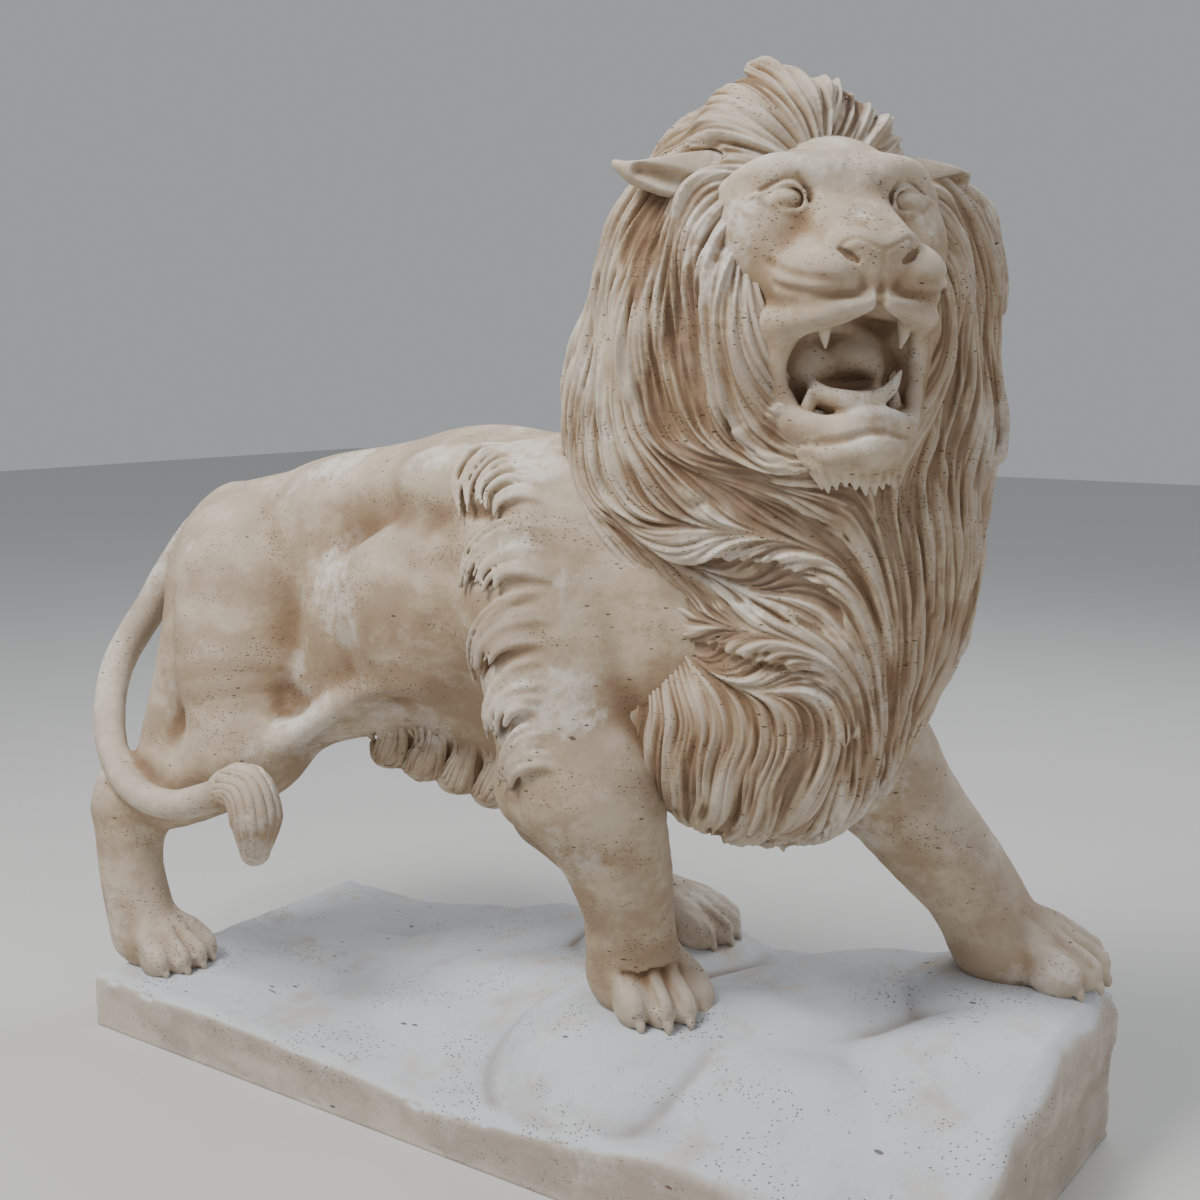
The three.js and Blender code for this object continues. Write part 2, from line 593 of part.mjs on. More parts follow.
/** A heap of edges, the cheapest on top. */
class EdgeHeap {
  constructor() {
    this.items = [];
  }

  push(item) {
    const items = this.items;
    let at = items.length;
    items.push(item);
    while (at > 0) {
      const parent = (at - 1) >> 1;
      if (items[parent].cost <= item.cost) break;
      items[at] = items[parent];
      at = parent;
    }
    items[at] = item;
  }

  pop() {
    const items = this.items;
    const top = items[0];
    const last = items.pop();
    const count = items.length;
    if (count === 0) return top;
    let at = 0;
    for (;;) {
      let child = 2 * at + 1;
      if (child >= count) break;
      if (child + 1 < count && items[child + 1].cost < items[child].cost) child++;
      if (items[child].cost >= last.cost) break;
      items[at] = items[child];
      at = child;
    }
    items[at] = last;
    return top;
  }
}

/** A closed net that is thinned by drawing its cheapest edges together. */
class Thinner {
  constructor({ positions, triangles }) {
    this.places = new Float64Array(positions);
    this.faces = new Int32Array(triangles);
    this.left = triangles.length / 3;
    const count = positions.length / 3;
    this.quadrics = new Float64Array(10 * count);
    this.around = Array.from({ length: count }, () => []);
    this.stamp = new Int32Array(count);
    this.seen = new Int32Array(count);
    this.tick = 0;
    this.heap = new EdgeHeap();
    for (let f = 0; f < this.left; f++) this.addFace(f);
    for (let v = 0; v < count; v++) this.offerEdges(v, (other) => other > v);
  }

  place(v) {
    return this.places.subarray(3 * v, 3 * v + 3);
  }

  /** Gives each corner of a face the squared distance to the face's plane, by area. */
  addFace(f) {
    const [a, b, c] = [0, 1, 2].map((k) => this.faces[3 * f + k]);
    const p = this.place(a);
    const normal = this.normal(p, this.place(b), this.place(c));
    const size = length3(...normal);
    const [x, y, z] = normal.map((value) => value / size);
    const w = -(x * p[0] + y * p[1] + z * p[2]);
    const terms = [x * x, x * y, x * z, x * w, y * y, y * z, y * w, z * z, z * w, w * w];
    for (const v of [a, b, c]) {
      this.around[v].push(f);
      for (let i = 0; i < 10; i++) this.quadrics[10 * v + i] += (terms[i] * size) / 2;
    }
  }

  normal(a, b, c) {
    const [ux, uy, uz] = [b[0] - a[0], b[1] - a[1], b[2] - a[2]];
    const [vx, vy, vz] = [c[0] - a[0], c[1] - a[1], c[2] - a[2]];
    return [uy * vz - uz * vy, uz * vx - ux * vz, ux * vy - uy * vx];
  }

  neighbours(v) {
    const found = [];
    this.tick++;
    this.seen[v] = this.tick;
    for (const f of this.around[v]) {
      for (let k = 3 * f; k < 3 * f + 3; k++) {
        const other = this.faces[k];
        if (this.seen[other] === this.tick) continue;
        this.seen[other] = this.tick;
        found.push(other);
      }
    }
    return found;
  }

  offerEdges(v, wanted) {
    for (const other of this.neighbours(v)) {
      if (wanted(other)) this.offer(v, other);
    }
  }

  /** Puts an edge on the heap with the place where its two ends cost least as one. */
  offer(u, v) {
    const q = [];
    for (let i = 0; i < 10; i++) q.push(this.quadrics[10 * u + i] + this.quadrics[10 * v + i]);
    const [pu, pv] = [this.place(u), this.place(v)];
    const reach = length3(pu[0] - pv[0], pu[1] - pv[1], pu[2] - pv[2]);
    const middle = [0, 1, 2].map((axis) => (pu[axis] + pv[axis]) / 2);
    let target = middle;
    const [a, b, c, e, f, h] = [q[0], q[1], q[2], q[4], q[5], q[7]];
    const minors = [e * h - f * f, c * f - b * h, b * f - c * e];
    const volume = a * minors[0] + b * minors[1] + c * minors[2];
    if (Math.abs(volume) > 1e-5 * (a + e + h) ** 3) {
      const [r, s, t] = [-q[3], -q[6], -q[8]];
      const best = [
        (minors[0] * r + minors[1] * s + minors[2] * t) / volume,
        (minors[1] * r + (a * h - c * c) * s + (b * c - a * f) * t) / volume,
        (minors[2] * r + (b * c - a * f) * s + (a * e - b * b) * t) / volume,
      ];
      const away = length3(best[0] - middle[0], best[1] - middle[1], best[2] - middle[2]);
      if (away < 2 * reach) target = best;
    }
    const [x, y, z] = target;
    const cost = a * x * x + e * y * y + h * z * z + 2 * (b * x * y + c * x * z + f * y * z)
      + 2 * (q[3] * x + q[6] * y + q[8] * z) + q[9] + EDGE_COST * reach * reach;
    this.heap.push({ cost, u, v, target, mark: this.stamp[u] + this.stamp[v] });
  }

  /** Whether moving a vertex turns one of its faces over, or makes a sliver of it. */
  turnsOver(v, other, target) {
    for (const f of this.around[v]) {
      const corners = [this.faces[3 * f], this.faces[3 * f + 1], this.faces[3 * f + 2]];
      if (corners.includes(other)) continue;
      const at = corners.indexOf(v);
      const b = this.place(corners[(at + 1) % 3]);
      const c = this.place(corners[(at + 2) % 3]);
      const before = this.normal(this.place(v), b, c);
      const after = this.normal(target, b, c);
      const size = length3(...after);
      const same = before[0] * after[0] + before[1] * after[1] + before[2] * after[2];
      if (same < 0.25 * length3(...before) * size) return true;
      const sides = [[target, b], [target, c], [b, c]].map(([p, q]) => (
        (p[0] - q[0]) ** 2 + (p[1] - q[1]) ** 2 + (p[2] - q[2]) ** 2));
      if (size < 0.06 * Math.max(...sides)) return true;
    }
    return false;
  }

  /** Draws v into u, where the net stays closed. */
  collapse({ u, v, target, mark }) {
    if (mark !== this.stamp[u] + this.stamp[v] || !this.around[u].length || !this.around[v].length) return;
    this.neighbours(u);
    const tick = this.tick;
    if (this.seen[v] !== tick) return;
    const beside = new Set();
    for (const f of this.around[v]) {
      for (let k = 3 * f; k < 3 * f + 3; k++) {
        const w = this.faces[k];
        if (w !== v && w !== u && this.seen[w] === tick) beside.add(w);
      }
    }
    if (beside.size !== 2) return;
    if (this.turnsOver(u, v, target) || this.turnsOver(v, u, target)) return;
    this.place(u).set(target);
    for (let i = 0; i < 10; i++) this.quadrics[10 * u + i] += this.quadrics[10 * v + i];
    for (const f of this.around[v]) {
      const corners = this.faces.subarray(3 * f, 3 * f + 3);
      if (corners.includes(u)) {
        for (const w of corners) this.around[w] = this.around[w].filter((g) => g !== f || w === v);
        this.left--;
      } else {
        corners[corners.indexOf(v)] = u;
        this.around[u].push(f);
      }
    }
    this.around[v] = [];
    this.stamp[u]++;
    this.offerEdges(u, () => true);
  }

  /** Thins the net and gives its geometry. */
  thin(wanted) {
    while (this.left > wanted && this.heap.items.length > 0) this.collapse(this.heap.pop());
    const kept = [];
    this.around.forEach((faces, v) => {
      for (const f of faces) {
        if (this.faces[3 * f] === v) kept.push(...this.faces.subarray(3 * f, 3 * f + 3));
      }
    });
    const geometry = new THREE.BufferGeometry();
    geometry.setAttribute('position', new THREE.Float32BufferAttribute(this.places, 3));
    geometry.setIndex(kept);
    return geometry;
  }
}

/** Manifold solid of a closed geometry. */
function solidOf(wasm, geometry) {
  const bare = geometry.clone();
  bare.deleteAttribute('normal');
  bare.deleteAttribute('uv');
  const merged = mergeVertices(bare, 1e-4);
  return new wasm.Manifold(new wasm.Mesh({
    numProp: 3,
    vertProperties: new Float32Array(merged.attributes.position.array),
    triVerts: new Uint32Array(merged.index.array),
  }));
}

/** Geometry of a manifold solid. */
function geometryOf(solid) {
  const mesh = solid.getMesh();
  const geometry = new THREE.BufferGeometry();
  geometry.setAttribute('position', new THREE.BufferAttribute(mesh.vertProperties, 3));
  geometry.setIndex(new THREE.BufferAttribute(mesh.triVerts, 1));
  geometry.computeVertexNormals();
  return geometry;
}

/** Box that holds the rock and the balls around all the figure's forms. */
function carvedBox() {
  const box = new THREE.Box3(
    vec(-HALF_LENGTH, -HALF_WIDTH, -shares(ROCK_SINK)),
    vec(HALF_LENGTH + FRONT_OVERHANG, HALF_WIDTH, ROCK_TOP),
  );
  for (const { centre, reach, carve } of FIGURE) {
    if (!carve) box.union(new THREE.Sphere(centre, reach).getBoundingBox(new THREE.Box3()));
  }
  return box.expandByScalar(2 * CELL);
}

/** The carved lion and rock as a geometry in millimetres. */
function carving() {
  const { min, max } = carvedBox();
  const geometry = new Thinner(carvedNet(min, max, CELL)).thin(CARVED_TRIANGLES);
  geometry.scale(SHARE, SHARE, SHARE);
  geometry.translate(0, 0, PLINTH_THICKNESS);
  return geometry;
}

/** The sawn slab. */
function slab() {
  const geometry = new THREE.BoxGeometry(PLINTH_LENGTH, PLINTH_WIDTH, PLINTH_THICKNESS);
  geometry.translate(0, 0, PLINTH_THICKNESS / 2);
  return geometry;
}

const wasm = await Module();
wasm.setup();

const statue = new THREE.Mesh(
  geometryOf(solidOf(wasm, carving()).add(solidOf(wasm, slab()))),
  new THREE.MeshStandardMaterial({ color: 0xcdb99f, roughness: 0.85, metalness: 0 }),
);
statue.name = 'lion_and_plinth';

const lion = new THREE.Group();
lion.add(statue);
export default lion;
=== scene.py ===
"""A striding, roaring lion carved with its plinth from one block of travertine.

Everything stands in metres in the part's own frame: +Z up, the origin in the middle of the plinth's
underside, the lion facing +X with its head turned to -Y. The carving is described by the distance to
a set of eggs and tapering limbs that melt into each other, in shares of the figure's height: 165 to
the figure, counted up from the slab's top. Each piece is meshed from that distance, and the hair is
then combed into it along one flow that runs round the face and sweeps forward over the chest.
"""
import json
import logging
import math
from collections.abc import Callable
from dataclasses import dataclass, field
from enum import Enum

import bpy
import numpy as np
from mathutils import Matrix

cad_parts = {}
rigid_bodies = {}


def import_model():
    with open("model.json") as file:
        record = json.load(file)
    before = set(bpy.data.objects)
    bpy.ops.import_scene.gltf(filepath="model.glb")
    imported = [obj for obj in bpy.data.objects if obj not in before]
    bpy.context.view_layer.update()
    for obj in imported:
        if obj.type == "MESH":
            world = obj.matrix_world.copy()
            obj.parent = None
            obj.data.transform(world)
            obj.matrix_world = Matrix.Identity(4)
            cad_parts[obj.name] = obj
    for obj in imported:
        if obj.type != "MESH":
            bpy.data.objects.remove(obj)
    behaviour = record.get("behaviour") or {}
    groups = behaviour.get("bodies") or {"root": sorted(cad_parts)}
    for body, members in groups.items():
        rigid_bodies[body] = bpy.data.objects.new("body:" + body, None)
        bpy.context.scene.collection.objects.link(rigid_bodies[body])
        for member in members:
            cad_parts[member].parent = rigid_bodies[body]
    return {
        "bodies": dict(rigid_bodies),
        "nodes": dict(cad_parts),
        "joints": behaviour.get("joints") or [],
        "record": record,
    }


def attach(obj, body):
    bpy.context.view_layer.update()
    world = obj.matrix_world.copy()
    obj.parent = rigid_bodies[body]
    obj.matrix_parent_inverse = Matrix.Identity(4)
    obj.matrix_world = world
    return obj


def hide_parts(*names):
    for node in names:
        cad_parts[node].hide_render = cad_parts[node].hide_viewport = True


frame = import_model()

import openvdb
from mathutils import Matrix, Vector

logging.basicConfig(level=logging.INFO, format="%(message)s")
LOG = logging.getLogger("lion")
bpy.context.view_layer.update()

FIGURE_HEIGHT = 1.650
PLINTH_LENGTH = 1.800
PLINTH_WIDTH = 0.720
PLINTH_THICKNESS = 0.105
ROCK_RISE = 0.160
SHARES = 165
SHARE = FIGURE_HEIGHT / SHARES
HALF_LENGTH = PLINTH_LENGTH / 2 / SHARE
HALF_WIDTH = PLINTH_WIDTH / 2 / SHARE
ROCK_TOP = ROCK_RISE / SHARE
FRONT_OVERHANG = 1.6
FAR = 1e3
TRIANGLE_LIMIT = 190_000
SOLID = "lion_and_plinth"

Array = np.ndarray
Place = tuple[float, float, float]
Colour = tuple[float, float, float, float]


def smooth(value: Array | float, low: float, high: float) -> Array | float:
    """Smooth step from 0 at low to 1 at high."""
    t = np.clip((value - low) / (high - low), 0.0, 1.0)
    return t * t * (3 - 2 * t)


def hill(x: Array, y: Array, middle: tuple[float, float], size: tuple[float, float]) -> Array:
    """A soft hill, 1 high at its middle."""
    return np.exp(-(((x - middle[0]) / size[0]) ** 2) - ((y - middle[1]) / size[1]) ** 2)


def turning(yaw: float, pitch: float = 0.0, roll: float = 0.0) -> Matrix:
    """Turning matrix from yaw about z, then pitch up, then roll, in degrees.

    Args:
        yaw: about z.
        pitch: upwards.
        roll: about its own x.

    Returns:
        The matrix.
    """
    order = (Matrix.Rotation(math.radians(yaw), 4, "Z")
             @ Matrix.Rotation(-math.radians(pitch), 4, "Y")
             @ Matrix.Rotation(math.radians(roll), 4, "X"))
    return order


BODY = Matrix.Identity(4)
HEAD_PLACE = Vector((61, -15, 144.3))
HEAD_YAW = -41
HEAD_PITCH = 4
HEAD = Matrix.Translation(HEAD_PLACE) @ turning(HEAD_YAW, HEAD_PITCH)
HEAD_SIDES = (-1, 0.92)
FORWARD = np.array(HEAD.to_3x3() @ Vector((1, 0, 0)))
LEFT = np.array(HEAD.to_3x3() @ Vector((0, 1, 0)))
UP = np.array(HEAD.to_3x3() @ Vector((0, 0, 1)))
FACE_MIDDLE = np.array(HEAD @ Vector((0, 0, -13)))


@dataclass
class Form:
    """A form of the carving: how widely it melts into the rest, and whether it is cut out of it."""

    blend: float
    carve: bool

    def box(self) -> tuple[Array, Array]:
        """Box that holds the form."""
        raise NotImplementedError

    def melt_into(self, block: "Block") -> None:
        """Melts the form into a block of voxels.

        Args:
            block: the voxels that take it.
        """
        low, high = self.box()
        margin = self.blend + block.band
        window = block.window(low - margin, high + margin)
        if window is None:
            return
        distance = self.distance(block, window)
        old = block.values[window]
        if self.carve:
            block.values[window] = -melt(-old, distance, self.blend)
        else:
            block.values[window] = melt(old, distance, self.blend)

    def distance(self, block: "Block", window: tuple[slice, slice, slice]) -> Array:
        """Distance to the form over a window of a block."""
        raise NotImplementedError


def melt(a: Array, b: Array, blend: float) -> Array:
    """Smooth union of two distances."""
    h = np.maximum(blend - np.abs(a - b), 0) * (1 / blend)
    return np.minimum(a, b) - h * h * (blend / 4)


@dataclass
class Egg(Form):
    """An egg with three half-axes, in shares."""

    matrix: Matrix
    radii: Place

    def box(self) -> tuple[Array, Array]:
        """Box that holds the egg.

        Returns:
            The box's low and high corners.
        """
        turn = np.array(self.matrix.to_3x3())
        reach = np.sqrt(((turn * np.array(self.radii)) ** 2).sum(axis=1))
        centre = np.array(self.matrix.translation)
        return centre - reach, centre + reach

    def distance(self, block: "Block", window: tuple[slice, slice, slice]) -> Array:
        """Distance to the egg over a window of a block.

        Args:
            block: the voxels.
            window: which of them are wanted.

        Returns:
            One distance for each voxel.
        """
        x, y, z = block.axes_of(window)
        e = np.array(self.matrix.inverted(), dtype=np.float32)
        inner = 0.0
        outer = 0.0
        for row, radius in enumerate(self.radii):
            local = (e[row, 0] * x + e[row, 1] * y + (e[row, 2] * z + e[row, 3])) / radius
            inner = inner + local * local
            outer = outer + (local / radius) ** 2
        k0 = np.sqrt(inner)
        return k0 * (k0 - 1) / np.maximum(np.sqrt(outer), 1e-6)


@dataclass
class Limb(Form):
    """A limb through beads, each a place and a radius."""

    beads: Array

    def box(self) -> tuple[Array, Array]:
        """Box that holds the limb."""
        places, radii = self.beads[:, :3], self.beads[:, 3:]
        return (places - radii).min(axis=0), (places + radii).max(axis=0)

    def distance(self, block: "Block", window: tuple[slice, slice, slice]) -> Array:
        """Distance to the limb over a window of a block.

        Args:
            block: the voxels.
            window: which of them are wanted.

        Returns:
            One distance for each voxel.
        """
        shape = block.values[window].shape
        best = np.full(shape, FAR, np.float32)
        offset = [part.start for part in window]
        margin = self.blend + block.band
        for a, b in zip(self.beads[:-1], self.beads[1:]):
            reach = max(a[3], b[3]) + margin
            near = block.window(np.minimum(a[:3], b[:3]) - reach, np.maximum(a[:3], b[:3]) + reach)
            if near is None:
                continue
            local = tuple(slice(max(part.start - o, 0), min(part.stop - o, size))
                          for part, o, size in zip(near, offset, shape))
            near = tuple(slice(part.start + o, part.stop + o) for part, o in zip(local, offset))
            x, y, z = block.axes_of(near)
            span = b[:3] - a[:3]
            along = (x - a[0]) * span[0] + (y - a[1]) * span[1] + (z - a[2]) * span[2]
            t = np.clip(along / max(float(span @ span), 1e-9), 0, 1)
            gap = ((x - a[0] - t * span[0]) ** 2 + (y - a[1] - t * span[1]) ** 2
                   + (z - a[2] - t * span[2]) ** 2)
            found = np.sqrt(gap) - (a[3] + t * (b[3] - a[3]))
            best[local] = np.minimum(best[local], found)
        return best


def egg(place: Place, radii: Place, frame: Matrix = BODY, turn: tuple[float, ...] = (0,),
        blend: float = 4.0, carve: bool = False) -> Egg:
    """Makes an egg.

    Args:
        place: its middle in the frame.
        radii: its half-axes.
        frame: the frame it is placed in.
        turn: yaw, pitch and roll in degrees.
        blend: how widely it melts.
        carve: whether it is cut out.

    Returns:
        The egg.
    """
    return Egg(blend, carve, frame @ Matrix.Translation(place) @ turning(*turn), radii)


def limb(knots: list[tuple[float, ...]], frame: Matrix = BODY, blend: float = 3.0,
         carve: bool = False, steps: int = 4) -> Limb:
    """Makes a limb through (x, y, z, radius) knots, rounded between them.

    Args:
        knots: the knots.
        frame: the frame they are in.
        blend: how widely it melts.
        carve: whether it is cut out.
        steps: beads from one knot to the next.

    Returns:
        The limb.
    """
    places = np.array([frame @ Vector(knot[:3]) for knot in knots])
    radii = np.array([knot[3] for knot in knots]) * frame.median_scale
    return Limb(blend, carve, rounded(np.column_stack([places, radii]), steps))


def rounded(knots: Array, steps: int) -> Array:
    """Points on a smooth curve through knots.

    Args:
        knots: one row for each knot.
        steps: points from one knot to the next.

    Returns:
        The points, one row each, with the last column eased straight.
    """
    padded = np.vstack([2 * knots[0] - knots[1], knots, 2 * knots[-1] - knots[-2]])
    rows = []
    for i in range(len(knots) - 1):
        p0, p1, p2, p3 = padded[i:i + 4]
        for t in np.arange(steps) / steps:
            curve = 0.5 * (2 * p1 + (p2 - p0) * t + (2 * p0 - 5 * p1 + 4 * p2 - p3) * t ** 2
                           + (3 * p1 - p0 - 3 * p2 + p3) * t ** 3)
            curve[-1] = p1[-1] + t * (p2[-1] - p1[-1])
            rows.append(curve)
    rows.append(knots[-1])
    return np.array(rows)


def both_sides(make: Callable[[int], list[Form]]) -> list[Form]:
    """The forms that a function makes for each side, -1 and 1."""
    return [form for side in (-1, 1) for form in make(side)]


@dataclass
class Block:
    """Voxels over a box, with the distance to the carving in each, in shares."""

    low: Array
    high: Array
    cell: float
    values: Array = field(init=False)
    axes: list[Array] = field(init=False)

    def __post_init__(self) -> None:
        """Lays out the voxels."""
        self.low = np.asarray(self.low, float)
        self.high = np.asarray(self.high, float)
        counts = np.ceil((self.high - self.low) / self.cell).astype(int) + 1
        self.values = np.full(counts, FAR, np.float32)
        self.axes = [(self.low[a] + self.cell * np.arange(counts[a])).astype(np.float32) for a in range(3)]

    @property
    def band(self) -> float:
        """How far from a form its distance is worked out."""
        return 3.5 * self.cell

    def window(self, low: Array, high: Array) -> tuple[slice, slice, slice] | None:
        """Slices of the voxels inside a box, or None where it holds none.

        Args:
            low: the box's low corner.
            high: its high corner.

        Returns:
            The slices, or None.
        """
        starts = np.maximum(np.floor((low - self.low) / self.cell).astype(int), 0)
        stops = np.minimum(np.ceil((high - self.low) / self.cell).astype(int) + 1, self.values.shape)
        if np.any(stops <= starts):
            return None
        return tuple(slice(int(a), int(b)) for a, b in zip(starts, stops))

    def axes_of(self, window: tuple[slice, slice, slice]) -> tuple[Array, Array, Array]:
        """Places along x, y and z over a window, shaped to spread over it."""
        x, y, z = (axis[part] for axis, part in zip(self.axes, window))
        return x[:, None, None], y[None, :, None], z[None, None, :]

    def add(self, forms: list[Form]) -> None:
        """Melts forms into the block in their order."""
        for form in forms:
            form.melt_into(self)

    def sample(self, values: Array, places: Array) -> Array:
        """Values at places between the voxels.

        Args:
            values: one value for each voxel.
            places: one row for each place.

        Returns:
            One value for each place.
        """
        at = (places - self.low) / self.cell
        at = np.clip(at, 0, np.array(values.shape) - 1.001)
        i = at.astype(np.int32)
        f = (at - i).astype(np.float32)
        ny, nz = values.shape[1], values.shape[2]
        flat = values.ravel()
        base = (i[:, 0] * ny + i[:, 1]) * nz + i[:, 2]
        total = 0.0
        for dx in (0, 1):
            for dy in (0, 1):
                for dz in (0, 1):
                    weight = (np.abs(1 - dx - f[:, 0]) * np.abs(1 - dy - f[:, 1])
                              * np.abs(1 - dz - f[:, 2]))
                    total = total + weight * flat[base + (dx * ny + dy) * nz + dz]
        return total

    def blurred(self, radius: float, rounds: int = 2) -> Array:
        """How solid the neighbourhood of each voxel is, from 0 to 1.

        Args:
            radius: of the neighbourhood, in shares.
            rounds: how often it is averaged.

        Returns:
            One value for each voxel.
        """
        solid = np.clip(0.5 - self.values / (2 * self.cell), 0, 1)
        width = max(1, int(round(radius / self.cell)))
        for _ in range(rounds):
            for axis in range(3):
                pad = [(0, 0)] * 3
                pad[axis] = (width + 1, width)
                run = np.cumsum(np.pad(solid, pad, mode="edge"), axis=axis, dtype=np.float64)
                high = np.take(run, range(2 * width + 1, run.shape[axis]), axis=axis)
                low = np.take(run, range(0, run.shape[axis] - 2 * width - 1), axis=axis)
                solid = ((high - low) / (2 * width + 1)).astype(np.float32)
        return solid

    def soften(self) -> None:
        """Evens out the distance between neighbouring voxels near the surface."""
        values = np.clip(self.values, -4 * self.cell, 4 * self.cell)
        for axis in range(3):
            values = (np.roll(values, 1, axis) + 2 * values + np.roll(values, -1, axis)) / 4
            values = (np.roll(values, 1, axis) + 2 * values + np.roll(values, -1, axis)) / 4
        self.values = values

    def net(self) -> tuple[Array, Array]:
        """Closed net where the distance is zero.

        Returns:
            Points in shares and four-sided faces that look outwards.
        """
        band = 3 * self.cell
        grid = openvdb.FloatGrid(band)
        grid.copyFromArray(np.clip(self.values, -band, band), tolerance=1e-6)
        points, quads = grid.convertToQuads(0.0)
        points = points * self.cell + self.low
        a, b, c, d = (points[quads[:, k]] for k in range(4))
        volume = (np.cross(b - a, c - a) * a).sum() + (np.cross(c - a, d - a) * a).sum()
        if volume < 0:
            quads = quads[:, ::-1]
        return points, quads


class Probe:
    """Scattered places that forms melt into as they do into a block, for the distance at each."""

    band = 8.0

    def __init__(self, places: Array) -> None:
        """Takes the places, one row each."""
        self.places = places
        self.values = np.full(len(places), FAR)

    def window(self, low: Array, high: Array) -> tuple[slice]:
        """All of the places."""
        return (slice(0, len(self.places)),)

    def axes_of(self, window: tuple[slice]) -> tuple[Array, Array, Array]:
        """Places along x, y and z."""
        return tuple(self.places[window[0]].T)


@dataclass
class Relief:
    """The surface of some forms, which lines and locks are laid on."""

    forms: list[Form]

    def distance(self, places: Array) -> Array:
        """Distance to the forms at places.

        Args:
            places: one row each.

        Returns:
            One distance for each place.
        """
        probe = Probe(places)
        for form in self.forms:
            form.melt_into(probe)
        return probe.values

    def settle(self, places: Array, rounds: int = 5) -> tuple[Array, Array]:
        """Moves places onto the surface.

        Args:
            places: near the surface, one row each.
            rounds: how often they are moved.

        Returns:
            The places on the surface and the outward direction at each.
        """
        for _ in range(rounds):
            steps = np.vstack([places] + [places + 0.15 * axis for axis in np.eye(3)])
            here, *ahead = self.distance(steps).reshape(4, -1)
            slope = np.column_stack([value - here for value in ahead]) / 0.15
            slope /= np.maximum(np.linalg.norm(slope, axis=1), 1e-6)[:, None]
            places = places - slope * np.clip(here, -3, 3)[:, None]
        return places, slope

    def line(self, knots: list[tuple[float, ...]], frame: Matrix = BODY, lift: float = 0.0,
             blend: float = 0.5, carve: bool = True) -> Limb:
        """A line over the surface, cut into it or standing on it.

        Args:
            knots: places near the surface and a radius for each.
            frame: the frame they are in.
            lift: how far its middle stands off the surface.
            blend: how widely it melts.
            carve: whether it is cut out.

        Returns:
            The line.
        """
        beads = limb(knots, frame).beads
        places, slope = self.settle(beads[:, :3])
        return Limb(blend, carve, np.column_stack([places + slope * lift, beads[:, 3]]))


@dataclass
class Lattice:
    """Random numbers on a lattice, eased between its points."""

    seed: int
    size: int = 64
    numbers: Array = field(init=False)

    def __post_init__(self) -> None:
        """Draws the numbers."""
        self.numbers = np.random.default_rng(self.seed).random(self.size ** 3).astype(np.float32)

    def sample(self, places: Array, cell: float) -> Array:
        """Noise from 0 to 1 at places, with lumps a cell across.

        Args:
            places: one row each.
            cell: width of the lumps.

        Returns:
            One value for each place.
        """
        at = places / cell
        i = np.floor(at).astype(np.int32)
        f = (at - i).astype(np.float32)
        f = f * f * (3 - 2 * f)
        mask = self.size - 1
        total = 0.0
        for dx in (0, 1):
            wx = f[:, 0] if dx else 1 - f[:, 0]
            ix = ((i[:, 0] + dx) & mask) * self.size
            for dy in (0, 1):
                wy = wx * (f[:, 1] if dy else 1 - f[:, 1])
                iy = (ix + ((i[:, 1] + dy) & mask)) * self.size
                for dz in (0, 1):
                    wz = wy * (f[:, 2] if dz else 1 - f[:, 2])
                    total = total + wz * self.numbers[iy + ((i[:, 2] + dz) & mask)]
        return total

    def grain(self, places: Array, cell: float, octaves: int = 3) -> Array:
        """Noise with finer noise on it, from about -1 to 1.

        Args:
            places: one row each.
            cell: width of the widest lumps.
            octaves: how many noises, each half as wide.

        Returns:
            One value for each place.
        """
        total = np.zeros(len(places), np.float32)
        for octave in range(octaves):
            total += (2 * self.sample(places + 17.3 * octave, cell / 2 ** octave) - 1) / 2 ** octave
        return total


